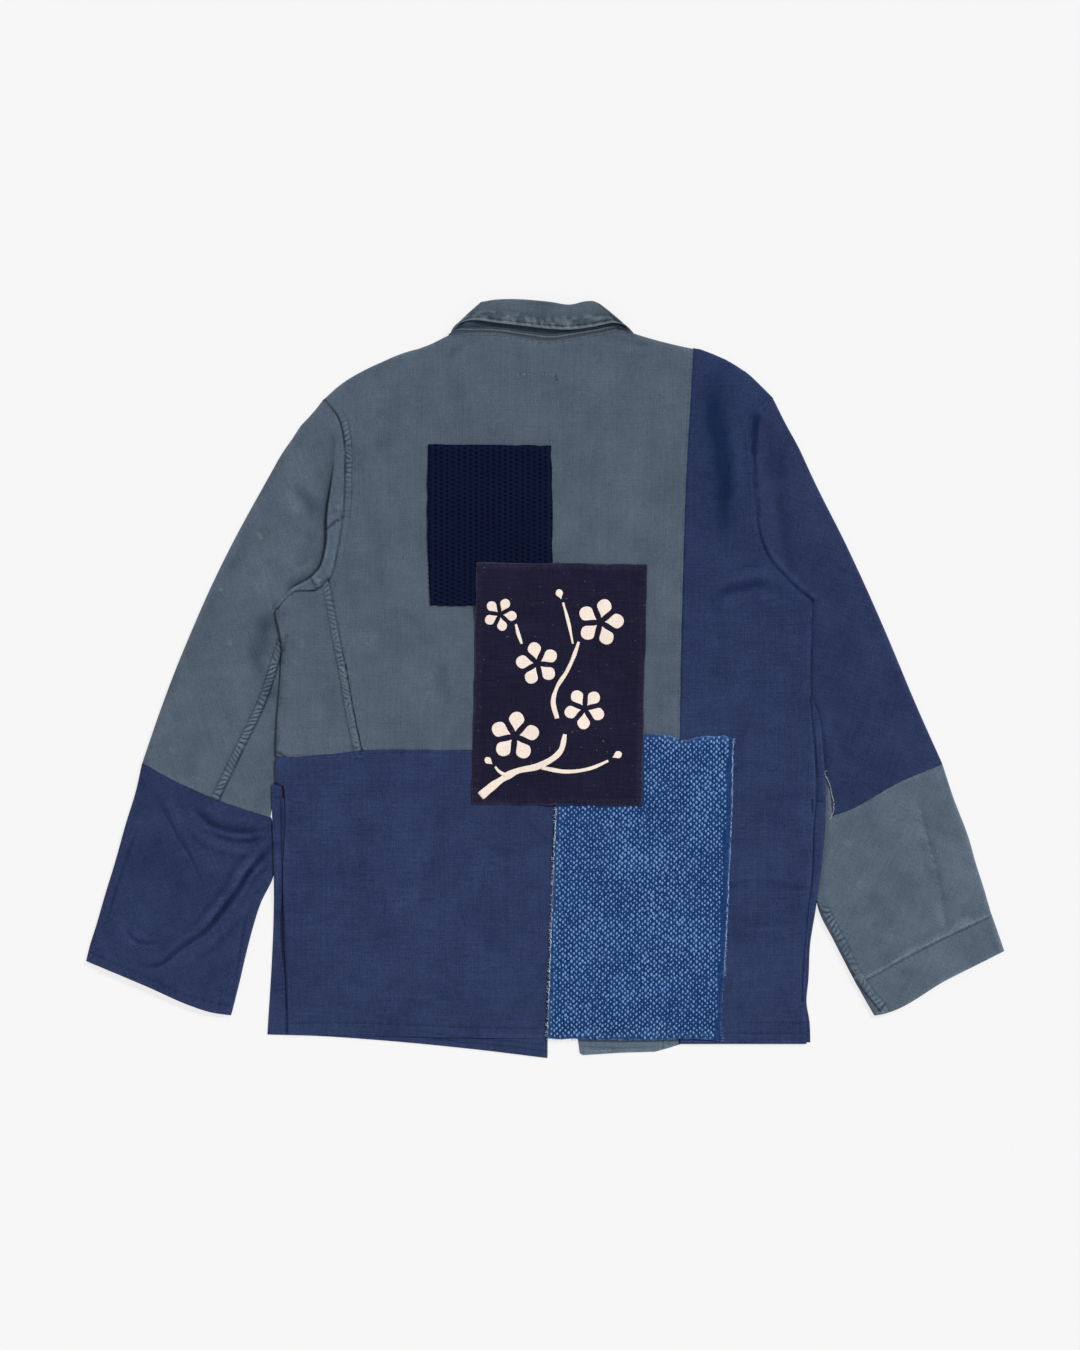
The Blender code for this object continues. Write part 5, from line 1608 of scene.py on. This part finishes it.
def patch_edge_relief(off, along, seed):
    """A patch is sewn down just inside its edge, and puckers a little between the stitches."""
    wave = np.sin(2 * pi * (along + 2 * wander(along, 12, seed)) / 7.5)
    pucker = 0.12 * wave * bump(off - PATCH_STITCH, 3.5) + 0.18 * bump(off - 2 * PATCH_STITCH, 2)
    return pucker - 0.3 * bump(off - PATCH_STITCH, GROOVE_WIDTH)


def make_patch(node, material, corners, thickness, step, spacing, ragged, seed, rim, texture=None, band=None):
    """A patch with its own outline. rim is how wide and how dark (below 0: how pale) its edge is."""
    ring = uneven_edge(corners, step, ragged, seed)
    loop = closed(ring)
    width, dark = rim

    def relief(xy):
        off, _, along = measure(loop, xy)
        own = texture(xy) if texture else 0
        return patch_relief(xy) + patch_edge_relief(off, along, seed + 1) + own

    def marks(xy):
        off, _, along = measure(loop, xy)
        edge = dark * bump(off, width) * (1 + 0.5 * wander(along, 9, 441))
        return edge + 0.8 * band(xy) if band else edge

    flat_sheet(node, relief, material, spacing, thickness=thickness, ring=ring, marks=marks)


def make_patches():
    make_patch(
        "patch_knit", KNIT, KNIT_PATCH, KNIT_CLOTH, step=1.4, spacing=1.3, ragged=0.6, seed=411,
        rim=(1.5, 0.6), texture=knit_relief,
    )
    make_patch(
        "patch_indigo", INDIGO, INDIGO_PATCH, INDIGO_CLOTH, step=2.4, spacing=2.3, ragged=0.5, seed=421,
        rim=(1.0, -0.5),
    )
    make_patch(
        "patch_sashiko", SASHIKO, SASHIKO_PATCH, SASHIKO_CLOTH, step=2.0, spacing=2.0, ragged=0.9, seed=431,
        rim=(1.2, -0.5), texture=sashiko_relief, band=sashiko_band,
    )


# --- Thread, laid on the finished cloth ---

THREAD_ROUND = 0.9  # a thread's height, as a share of its width


def joined(meshes):
    """Several meshes' points and faces as one mesh's."""
    points, faces, count = [], [], 0
    for place, index in meshes:
        points.append(place)
        faces.append(index + count)
        count += len(place)
    return np.vstack(points), np.vstack(faces)


class Cover:
    """The uppermost cloth everywhere, for what is laid on it."""

    def __init__(self, pieces):
        skins = []
        for piece in pieces:
            points, faces = mesh_arrays(piece.data)
            skins.append((points, faces[plan_areas(points, faces) > 0]))
        points, faces = joined(skins)
        self.tree = BVHTree.FromPolygons(points.tolist(), faces.tolist())

    def height(self, xy):
        return heights(self.tree, xy)

    def raised(self, xy, rise):
        """Plan points lifted to this far above the cloth."""
        return np.column_stack([xy, self.height(xy) + rise])


def spindles(starts, ends, width, height, sides=4, taper=0.2):
    """Short lengths of thread with rounded ends, from starts to ends, as one mesh."""
    run = ends - starts
    across = unit(np.cross([0, 0, 1.0], run))
    up = unit(np.cross(run, across))
    points = [starts]
    for share in (taper, 1 - taper):
        for angle in 2 * pi * (np.arange(sides) + 0.5) / sides:
            off = across * cos(angle) * width / 2 + up * sin(angle) * height / 2
            points.append(starts + run * share + off)
    points.append(ends)
    stride = 2 + 2 * sides
    faces = []
    for k in range(sides):
        a, b = 1 + k, 1 + (k + 1) % sides
        c, d = a + sides, b + sides
        faces += [(0, b, a), (a, b, d), (a, d, c), (c, d, stride - 1)]
    faces = np.array(faces)[None] + np.arange(len(starts))[:, None, None] * stride
    return np.stack(points, axis=1).reshape(-1, 3), faces.reshape(-1, 3)


def points_along(line, places):
    line = np.asarray(line, float)
    lengths = np.concatenate([[0], np.cumsum(np.hypot(*np.diff(line, axis=0).T))])
    return np.column_stack([np.interp(places, lengths, line[:, 0]), np.interp(places, lengths, line[:, 1])])


# A row of stitches: its line, how far apart they are, and each one's length and width.
Row = namedtuple("Row", "line pitch length width")


def thread_piece(name, cover, material, seed, rows, sink=0.12, wobble=0.12):
    """Rows of stitches in one colour of thread, as one piece."""
    rng = np.random.default_rng(seed)
    starts, ends, widths = [], [], []
    for row in rows:
        line = np.asarray(row.line, float)
        centres = np.arange(row.pitch * 0.6, length_of(line) - row.length / 2, row.pitch)
        centres = centres + rng.uniform(-0.12, 0.12, len(centres)) * row.pitch
        length = row.length * rng.uniform(0.85, 1.1, len(centres))
        for found, place in ((starts, centres - length / 2), (ends, centres + length / 2)):
            xy = points_along(line, place) + rng.uniform(-wobble, wobble, (len(centres), 2))
            found.append(cover.raised(xy, -sink))
        widths.append(np.full((len(centres), 1), row.width))
    width = np.vstack(widths)
    points, faces = spindles(np.vstack(starts), np.vstack(ends), width, width * THREAD_ROUND)
    return new_piece(name, material, points, faces)


def tack_piece(name, cover, material, line, across, width, pitch=0.7):
    """A bar tack or an overcast edge: straight stitches square to a line, packed closely along it."""
    first, last = np.array(line, float)
    run = (last - first) / hypot(*(last - first))
    side = np.array([-run[1], run[0]]) * across / 2
    place = first + run * pitch * np.arange(int(length_of(line) / pitch))[:, None]
    starts = cover.raised(place - side, -0.05)
    ends = cover.raised(place + run * pitch * 0.4 + side, -0.05)
    return new_piece(name, material, *spindles(starts, ends, width, width * THREAD_ROUND))


def loop_inside(corners, distance):
    """A line round a patch, this far inside its edge."""
    corners = np.array(corners, float)
    moved = closed(corners + np.sign(corners.mean(axis=0) - corners) * distance)
    return np.vstack([*(curve([a, b], 3)[:-1] for a, b in zip(moved, moved[1:])), moved[:1]])


DOT_CLIMB = 0.04  # how fast the rows of pale stitches climb to the right
DOT_LENGTH, DOT_WIDTH = 3.4, 2.3
DOT_MARGIN = 2.6  # from the patch's edge
COVERED_MARGIN = 1.2  # from the edge of the patch that lies over this one
DOT_LEAN = radians(12)


def woven_dots(cover):
    """The pale stitches of the woven patch: short, nearly upright, in rows that climb to the right."""
    rng = np.random.default_rng(77)
    rows = []
    for number, y in enumerate(np.arange(-372, -52, DOT_DOWN)):
        x = np.arange(0, 200, DOT_ACROSS) + (number % 2) * DOT_ACROSS / 2
        rows.append(np.column_stack([x, y + DOT_CLIMB * x]))
    ring, over = np.array(SASHIKO_PATCH[::-1], float), np.array(INDIGO_PATCH[::-1], float)
    xy = np.vstack(rows)
    xy = away_from(closed(ring), xy[inside(ring, xy)], DOT_MARGIN)
    xy = xy[sashiko_band(xy) < 0.5]
    xy = away_from(closed(over), xy[~inside(over, xy)], COVERED_MARGIN)
    xy = xy + rng.uniform(-0.6, 0.6, xy.shape)
    size = 0.93 + 0.17 * noise(xy[:, 0], xy[:, 1], 26, 434) + rng.uniform(-0.25, 0.22, len(xy))
    lean = DOT_LEAN + rng.uniform(-0.4, 0.4, len(xy))
    half = np.column_stack([np.sin(lean), np.cos(lean)]) * (DOT_LENGTH / 2 * size)[:, None]
    height = cover.height(xy) + 0.15
    starts, ends = (np.column_stack([end, height]) for end in (xy - half, xy + half))
    width = (DOT_WIDTH * size)[:, None]
    return new_piece("sashiko_dots", DOT_THREAD, *spindles(starts, ends, width, width * 0.5, 5, 0.24))


def frayed(name, cover, material, seed, line, outwards, count, length, width):
    """Loose threads that stick out of a raw edge. outwards is 1 for the left of the line, or -1."""
    rng = np.random.default_rng(seed)
    places = rng.uniform(0, length_of(line), count)
    roots, ahead, behind = (points_along(line, places + off) for off in (0, 0.5, -0.5))
    run = unit(ahead - behind)
    side = np.column_stack([-run[:, 1], run[:, 0]]) * outwards
    angle = rng.uniform(-1.1, 1.1, count)[:, None]
    reach = (length * rng.uniform(0.3, 1.0, count))[:, None]
    tips = roots + (side * np.cos(angle) + run * np.sin(angle)) * reach
    roots = roots - side
    z = cover.height(roots)
    starts = np.column_stack([roots, z + 0.05])
    ends = np.column_stack([tips, np.maximum(z - rng.uniform(0.2, 1.4, count), 0.3)])
    return new_piece(name, material, *spindles(starts, ends, width, width, taper=0.15))


# --- The pale print on the dark patch ---

# A spray of plum blossom, a traditional motif drawn from nothing but its five round petals.
Blossom = namedtuple("Blossom", "x y radius turn petals")
BLOSSOMS = [
    Blossom(-31, -58, 25, 12, 5), Blossom(40, -30, 21, 50, 5), Blossom(-8, 16, 22, 30, 5),
    Blossom(56, 58, 24, 4, 5), Blossom(-46, 66, 17, 64, 5), Blossom(66, -81, 13, 28, 1),
    Blossom(17, 79, 13, 108, 1), Blossom(-52, -88, 12, 140, 1),
]
PETAL_GAP = 1.3  # between the petals, and round the hole in their middle
PETAL_HUB = 0.6  # where a petal is widest, as a share of the way out
# The branch: points with the brush's width at each, in strokes.
STROKES = [
    [(-66, -119, 8.5), (-50, -106, 7.5), (-30, -94, 6.5), (-6, -88, 6.0), (16, -72, 5.5), (20, -56, 4.0)],
    [(12, -40, 4.0), (8, -22, 4.5), (12, -8, 4.0), (22, 8, 3.6), (30, 26, 3.6), (34, 38, 2.4)],
    [(-4, -90, 4.0), (22, -94, 4.0), (48, -90, 3.2), (64, -83, 2.2)],
    [(-24, 36, 2.2), (-28, 48, 3.6), (-30, 56, 2.2)],
    [(28, 36, 2.4), (24, 56, 3.2), (18, 78, 2.0)],
    [(-40, -98, 4.0), (-48, -93, 2.6), (-51, -89, 2.0)],
]


def petal_ring(blossom, number):
    """A round petal: it widens out of the blossom's middle between two straight sides."""
    share = 2 * pi / 5
    angles = np.linspace(-0.5 * pi, 1.5 * pi, 25)[:-1]
    hub = blossom.radius * PETAL_HUB
    spread = hub * sin(share / 2) - PETAL_GAP / 2
    x = hub + (blossom.radius - hub) * np.sin(angles)
    narrow = np.clip((x - blossom.radius * 0.16) / (hub * 0.9), 0.2, 1)
    y = spread * np.cos(angles) * np.minimum(1, narrow * 1.1)
    turn = radians(blossom.turn) + share * number
    c, d = cos(turn), sin(turn)
    return np.column_stack([blossom.x + x * c - y * d, blossom.y + x * d + y * c])


def stroke_ring(points, seed):
    """A brush stroke along points with widths, a little ragged at its sides."""
    line = curve(points, 3.0)
    half = line[:, 2] / 2 * (1 + 0.22 * noise(line[:, 0], line[:, 1], 9, seed))
    middle = line[:, :2]
    left = (beside(middle, 1.0) - middle) * half[:, None]
    return np.vstack([middle + left, (middle - left)[::-1]])


def anticlockwise(ring):
    after = np.roll(ring, -1, axis=0)
    turning = (ring[:, 0] * after[:, 1] - ring[:, 1] * after[:, 0]).sum()
    return ring if turning > 0 else ring[::-1]


def pale_print(cover):
    """Every petal and brush stroke, as one thin piece."""
    rings = [petal_ring(blossom, number) for blossom in BLOSSOMS for number in range(blossom.petals)]
    rings += [stroke_ring(points, 500 + number) for number, points in enumerate(STROKES)]
    marks = []
    for ring in rings:
        xy, faces = fill(anticlockwise(ring), 2.3, insets=(0.5,))
        z = relax(cover.height(xy), faces, rounds=2) + PRINT / 2
        marks.append(shell(np.column_stack([xy, z]), faces, {}, PRINT)[:2])
    return new_piece("pale_print", CREAM_PRINT, *joined(marks))


# --- Making it ---

STRIP_HOLLOW = [(168, 312), (170, 288), (173, 262), (178, 234), (182, 205), (183, 170), (183, 132)]


def strip_marks(xy):
    """The right strip is darker towards the shoulder, with painted shade darkest of all down its long hollow.
    """
    x, y = xy[:, 0], xy[:, 1]
    trough = measure(curve(STRIP_HOLLOW, 5), xy)[0]
    there = ramp(y, 118, 178) * (1 - ramp(y, 262, 318)) * (0.9 + 0.3 * noise(x * 2, y, 22, 765))
    hollow = (1.15 + 0.45 * noise(x * 3, y, 34, 766)) * bump(trough, 9.5) + 0.4 * bump(trough, 20)
    return shading(xy) + 0.3 * ramp(y, -190, 60) + 0.22 * ramp(y, 120, 220) + hollow * there


def make_fronts():
    foot_left = curve([(-160, -363), (-71, -370), (1, -378)], 4)
    foot_right = curve([(34, -376), (75, -376), (120, -374), (148, -368)], 4)
    for node, material, fine in (
        ("front_left_lower", NAVY_FRONT, [(beside(VENT, -5), 8), (foot_left, 8)]),
        ("front_right_side", NAVY_FRONT, [(beside(SLIT, 6), 9)]),
        ("front_right", GREY_FRONT, [(foot_right, 8)]),
    ):
        flat_sheet(node, front_relief, material, HIDDEN, fine, side=-1)
    wrapped_front()


def make_back():
    upper = [(ARM_LEFT[:75], 10), (SIDE, 5), (NECK, 12), (STRIP_STITCH, 5), (WAIST, 4)]
    label = [(GHOST_TOP, 6), (GHOST_LOW, 5)]
    lower = [(WAIST_STITCH, 6), (HEM_LEFT_BACK, 5), (VENT, 7)]
    strip = [(ARM_RIGHT, 7), (HEM_RIGHT_BACK, 5), (HEM_RIGHT_UPPER, 4), (STRIP, 5), (SLIT, 6)]
    flat_sheet("back_upper", back_relief, GREY_BACK, fine=[*upper, *label])
    flat_sheet("back_lower_left", back_relief, NAVY_BACK, fine=lower)
    flat_sheet("back_right", back_relief, NAVY_STRIP, fine=strip, marks=strip_marks)


def make_sleeves():
    join_left, hem_left = curve(JOIN_LEFT, 3), curve(HEM_LEFT, 3)
    join_right, join_inner = curve(JOIN_RIGHT[:4], 3), JOIN_RIGHT[3:]
    cuff_seam, cuff_hem = curve(CUFF_SEAM, 3), curve(CUFF_HEM, 3)
    band_left, band_right = (SLEEVE_LEFT, 12), (SLEEVE_RIGHT, 12)
    tube(
        "sleeve_left_upper", [ARM_LEFT, join_left], left_arm_relief, GREY_ARM,
        fine=[band_left, (PLEAT[:120], 6)], lines=[PLEAT, beside(PLEAT, -0.8)],
    )
    tube("sleeve_left_lower", [join_left, hem_left], left_cuff_relief, NAVY_CUFF, 2.3)
    tube(
        "sleeve_right_upper", [ARM_RIGHT, join_right, join_inner], right_arm_relief, NAVY_ARM,
        fine=[(curve(PLEAT_RIGHT, 3), 6)],
    )
    tube(
        "sleeve_right_lower", [join_right, join_inner, cuff_seam], right_cuff_relief, GREY_CUFF,
        fine=[band_right],
    )
    tube(
        "sleeve_right_cuff", [cuff_seam, cuff_hem], right_cuff_relief, GREY_CUFF,
        fine=[band_right, (beside(cuff_seam, 4), 6)],
    )


def seam_rows(cover):
    """The stitching of the seams and hems, a piece for each colour of thread."""
    grey_rows = []
    for line, inner, outer in (
        (ARM_LEFT[6:70], 1.2, 6.8), (SIDE[2:], 1.3, 7.4), (SLEEVE_LEFT, -1.3, -7.4), (SLEEVE_RIGHT, 1.3, 7.8),
    ):
        grey_rows += [Row(beside(line, off), 3.4, 2.5, 0.5) for off in (inner, outer)]
    grey_rows += [
        Row(STRIP_STITCH[:100], 3.6, 2.6, 0.45), Row(NECK_STITCH, 3.2, 2.4, 0.5),
        Row(CUFF_ROW_RIGHT, 3.2, 2.4, 0.5),
    ]
    navy_rows = [
        Row(HEM_LEFT_BACK, 3.3, 2.4, 0.38), Row(HEM_RIGHT_BACK, 3.3, 2.4, 0.38),
        Row(HEM_RIGHT_UPPER, 3.6, 2.4, 0.35), Row(WAIST_STITCH, 3.3, 2.4, 0.38),
        Row(ARM_ROW_RIGHT, 3.3, 2.5, 0.45), Row(CUFF_HEM_LEFT, 3.4, 2.5, 0.45),
        Row(JOIN_ROW_RIGHT, 3.4, 2.5, 0.4), Row(loop_inside(KNIT_PATCH, 2.4), 3.2, 2.4, 0.5),
        Row(loop_inside(INDIGO_PATCH, 2.2), 2.6, 1.9, 0.4),
    ]
    leaf_edge = [
        (-91, 356.8), (-78, 367.6), (-47, 366.1), (-17, 362.6), (6, 360), (28, 359.6), (50, 362.4),
        (74, 365.9), (82, 359.4),
    ]
    collar_rows = [
        Row(curve(leaf_edge, 2), 3.0, 2.4, 0.55), Row(beside(NECK, 1.4)[6:-8], 2.6, 2.2, 0.6),
        Row(beside(NECK, 4.6)[12:-12], 2.6, 2.2, 0.6), Row(beside(NECK, -1.2)[4:-4], 2.6, 1.8, 0.5),
    ]
    return [
        thread_piece("stitches_grey", cover, GREY_THREAD, 11, grey_rows),
        thread_piece("stitches_navy", cover, NAVY_THREAD, 12, navy_rows),
        thread_piece("stitches_collar", cover, BROWN_THREAD, 18, collar_rows),
    ]


def label_and_mends(cover):
    """What is left of a label, a small mend, the knit's overcast top edge, and two bar tacks."""
    ghost_rows = [Row(GHOST_TOP, 3.6, 1.9, 0.5), Row(GHOST_LOW, 4.4, 1.7, 0.4)]
    knot_rows = [
        Row(GHOST_TOP[::2], 7.2, 1.6, 0.45), Row(curve([(11, 310), (11, 303)], 2), 3.0, 2.6, 0.8),
        Row(curve([(9, 309), (13, 304)], 2), 3.2, 2.4, 0.7),
    ]
    knit_top = [(-118, 238.6), (5, 237.6)]
    return [
        thread_piece("stitches_ghost", cover, PALE_GREY_THREAD, 19, ghost_rows),
        tack_piece("mend", cover, PALE_GREY_THREAD, [(-293, 149), (-288, 141.5)], 5.5, 0.4, 1.7),
        tack_piece("knit_overcast", cover, BAND_THREAD, knit_top, 2.6, 0.55, 2.9),
        thread_piece("stitches_label", cover, BLACK_THREAD, 13, knot_rows),
        tack_piece("bar_tack_left", cover, MAROON_THREAD, [(-267, -109), (-267, -122)], 2.6, 0.75),
        tack_piece("bar_tack_right", cover, NAVY_THREAD, [(272, -122), (272.5, -136)], 2.2, 0.7),
    ]


def hems_and_edges(cover):
    """The pale stitches on the front's corner that hangs below the back, the woven patch's oversewn and
    frayed edges, and the frayed end of the right sleeve's join."""
    corner_row = Row(curve([(40, -378.5), (54, -379), (68, -378)], 2), 4.6, 2.2, 0.7)
    edge_row = Row(curve([(191, -60), (189, -150), (186, -215), (182, -300)], 3), 4.4, 5.6, 1.3)
    left_row = Row(curve([(11, -131), (8, -200), (6, -260), (2, -366)], 3), 3.8, 4.6, 1.0)
    join_row = Row(curve([(284, -93), (291, -112), (293, -137), (289, -145)], 2), 2.6, 3.4, 0.8)
    right, foot, left = [(192, -58), (180, -369)], [(180, -369), (1, -367)], [(1, -367), (10, -130)]
    join_end = [(285, -92), (292, -112), (294, -140)]
    return [
        thread_piece("stitches_pale", cover, PALE_GREY_THREAD, 14, [corner_row]),
        thread_piece("sashiko_edge", cover, PALE_BLUE_THREAD, 15, [edge_row], 0.3, 0.55),
        tack_piece("sashiko_band", cover, BAND_THREAD, [(188.6, -60), (177, -367)], 4.6, 1.1, 2.1),
        thread_piece("sashiko_ravel", cover, WHITE_THREAD, 16, [left_row], 0.2, 0.6),
        frayed("fray_sashiko", cover, PALE_BLUE_THREAD, 21, right, 1, 150, 2.6, 0.35),
        frayed("fray_sashiko_foot", cover, PALE_BLUE_THREAD, 22, foot, -1, 130, 2.6, 0.35),
        frayed("fray_sashiko_left", cover, WHITE_THREAD, 23, left, 1, 120, 2.6, 0.4),
        thread_piece("sleeve_ravel", cover, FRAYED_THREAD, 17, [join_row], 0.2, 0.5),
        frayed("fray_sleeve", cover, FRAYED_THREAD, 24, join_end, 1, 46, 3.0, 0.35),
    ]


# --- The table of sheets of cloth, and the pieces made and attached to the body ---

# For each sheet: its slot, how it is held, the flat cut of what shows in metres (all round, on a sleeve),
# the cut's area in square metres, what it lies on, and the sewing on it.
Sheet = namedtuple("Sheet", "slot held width length area rests_on sewing")
GREY_SLOT, NAVY_SLOT, BLUE_SLOT = "grey_green_cotton", "navy_cotton", "sashiko_blue"
SASHIKO_SEWING = (
    "sashiko_dots", "sashiko_edge", "sashiko_band", "sashiko_ravel", "fray_sashiko", "fray_sashiko_foot",
    "fray_sashiko_left",
)
SHEETS = {
    "front_left_upper": Sheet(GREY_SLOT, "folded", 0.357, 0.418, 0.101, (), ()),
    "front_left_lower": Sheet(NAVY_SLOT, "laid", 0.285, 0.307, 0.0818, (), ()),
    "front_right": Sheet(GREY_SLOT, "laid", 0.121, 0.721, 0.0824, (), ("stitches_pale",)),
    "front_right_side": Sheet(NAVY_SLOT, "laid", 0.135, 0.699, 0.0735, (), ()),
    "back_upper": Sheet(GREY_SLOT, "laid", 0.376, 0.428, 0.1444, ("front_left_upper", "front_right"),
                        ("stitches_grey", "stitches_ghost", "stitches_label")),
    "back_lower_left": Sheet(NAVY_SLOT, "laid", 0.409, 0.294, 0.1174, ("front_left_lower",),
                             ("stitches_navy", "bar_tack_left")),
    "back_right": Sheet(NAVY_SLOT, "laid", 0.138, 0.707, 0.0788, ("front_right_side", "front_right"),
                        ("bar_tack_right",)),
    "sleeve_left_upper": Sheet(GREY_SLOT, "laid", 0.282, 0.421, 0.0818, ("front_left_upper",), ("mend",)),
    "sleeve_left_lower": Sheet(NAVY_SLOT, "laid", 0.322, 0.222, 0.0634, (), ()),
    "sleeve_right_upper": Sheet(NAVY_SLOT, "laid", 0.254, 0.416, 0.0686, ("front_right_side",), ()),
    "sleeve_right_lower": Sheet(GREY_SLOT, "laid", 0.334, 0.221, 0.0534, (), ("sleeve_ravel", "fray_sleeve")),
    "sleeve_right_cuff": Sheet(GREY_SLOT, "laid", 0.310, 0.047, 0.0130, (), ()),
    "collar_fall": Sheet(GREY_SLOT, "folded", 0.537, 0.077, 0.0213, ("collar_stand",), ("stitches_collar",)),
    "collar_stand": Sheet(GREY_SLOT, "laid", 0.450, 0.053, 0.0158, ("back_upper",), ()),
    "patch_knit": Sheet("dark_knit", "laid", 0.127, 0.164, 0.0205, ("back_upper",), ("knit_overcast",)),
    "patch_sashiko": Sheet(BLUE_SLOT, "laid", 0.180, 0.316, 0.0557, ("back_lower_left", "back_right"),
                           SASHIKO_SEWING),
    "patch_indigo": Sheet("dark_indigo", "laid", 0.175, 0.247, 0.0427,
                          ("back_upper", "back_lower_left", "patch_knit", "patch_sashiko"), ("pale_print",)),
}

make_fronts()
make_back()
make_sleeves()
make_collar()
make_patches()
cover = Cover(PIECES.values())
SEWING = {piece.name: piece for piece in [
    *seam_rows(cover), *label_and_mends(cover), woven_dots(cover), *hems_and_edges(cover), pale_print(cover),
]}

for name, sheet in SHEETS.items():
    piece = PIECES[name]
    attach(piece, BODY)
    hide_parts(name)
    for part in sheet.sewing:
        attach(SEWING[part], BODY)
    list(sheet.rests_on)
    [SEWING[part] for part in sheet.sewing]

# --- Floor, light and camera ---

BACKGROUND = 0.93  # what the camera sees of the floor and the world: a screen value of 247
FLOOR_SIZE = 12
FLOOR_DROP = 0.0004  # the floor lies this far under the jacket
FLOOR_ALBEDO = 0.7
FLOOR_GLOW = 0.82  # the share of the floor's brightness, to the camera, that no shadow falls on
SKY = 0.56
SUN_SHARE = 0.56  # what the sun adds to level cloth
SUN_TILT = radians(54)
SUN_TURN = radians(130)
SUN_SIZE = radians(10)
CAMERA_HEIGHT = 3.0
PHOTO_HEIGHT_MM = 1377  # what the whole height of the photograph spans on the surface
PHOTO_CENTRE = (-5.36, 4.3)
SENSOR = 36


def level_grey(value):
    return (value, value, value, 1)


def camera_ray(tree):
    return tree.nodes.new("ShaderNodeLightPath").outputs["Is Camera Ray"]


def make_floor():
    bpy.ops.mesh.primitive_plane_add(size=FLOOR_SIZE, location=(0, 0, -FLOOR_DROP))
    floor = bpy.context.object
    floor.name = "floor"
    g = Graph("floor")
    seen = BACKGROUND * (1 - FLOOR_GLOW) / (SKY + SUN_SHARE)
    ray = camera_ray(g.tree)
    colour = g.mix(ray, level_grey(FLOOR_ALBEDO), level_grey(seen))
    g.coat(Base_Color=colour, Roughness=1.0, Specular_IOR_Level=0.0, Emission_Color=level_grey(1))
    g.coat(Emission_Strength=g.math("MULTIPLY", ray, BACKGROUND * FLOOR_GLOW))
    floor.data.materials.append(g.material)
    floor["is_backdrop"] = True


def make_light():
    world = bpy.data.worlds.new("studio")
    bpy.context.scene.world = world
    world.use_nodes = True
    tree = world.node_tree
    mixed = tree.nodes.new("ShaderNodeMixShader")
    tree.links.new(camera_ray(tree), mixed.inputs[0])
    sky, seen = tree.nodes["Background"], tree.nodes.new("ShaderNodeBackground")
    for socket, node, colour, strength in (
        (mixed.inputs[1], sky, 1, SKY), (mixed.inputs[2], seen, BACKGROUND, 1.0),
    ):
        node.inputs["Color"].default_value = level_grey(colour)
        node.inputs["Strength"].default_value = strength
        tree.links.new(node.outputs[0], socket)
    tree.links.new(mixed.outputs[0], tree.nodes["World Output"].inputs["Surface"])
    sun = bpy.data.lights.new("sun", "SUN")
    sun.energy = SUN_SHARE * pi / cos(SUN_TILT)
    sun.angle = SUN_SIZE
    lamp = bpy.data.objects.new("sun", sun)
    lamp.rotation_euler = (SUN_TILT, 0, SUN_TURN)
    bpy.context.scene.collection.objects.link(lamp)


def make_camera():
    lens = bpy.data.cameras.new("camera")
    lens.sensor_width = SENSOR
    lens.lens = SENSOR * CAMERA_HEIGHT / (PHOTO_HEIGHT_MM * MM)
    lens.clip_end = 50
    camera = bpy.data.objects.new("camera", lens)
    camera.location = (PHOTO_CENTRE[0] * MM, PHOTO_CENTRE[1] * MM, CAMERA_HEIGHT)
    bpy.context.scene.collection.objects.link(camera)
    bpy.context.scene.camera = camera


make_floor()
make_light()
make_camera()
bpy.context.scene.view_settings.view_transform = "Standard"

visual_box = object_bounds()
boxes = {"cad": cad_box, "visual": visual_box}
{name: [list(corner) for corner in box] for name, box in boxes.items()}
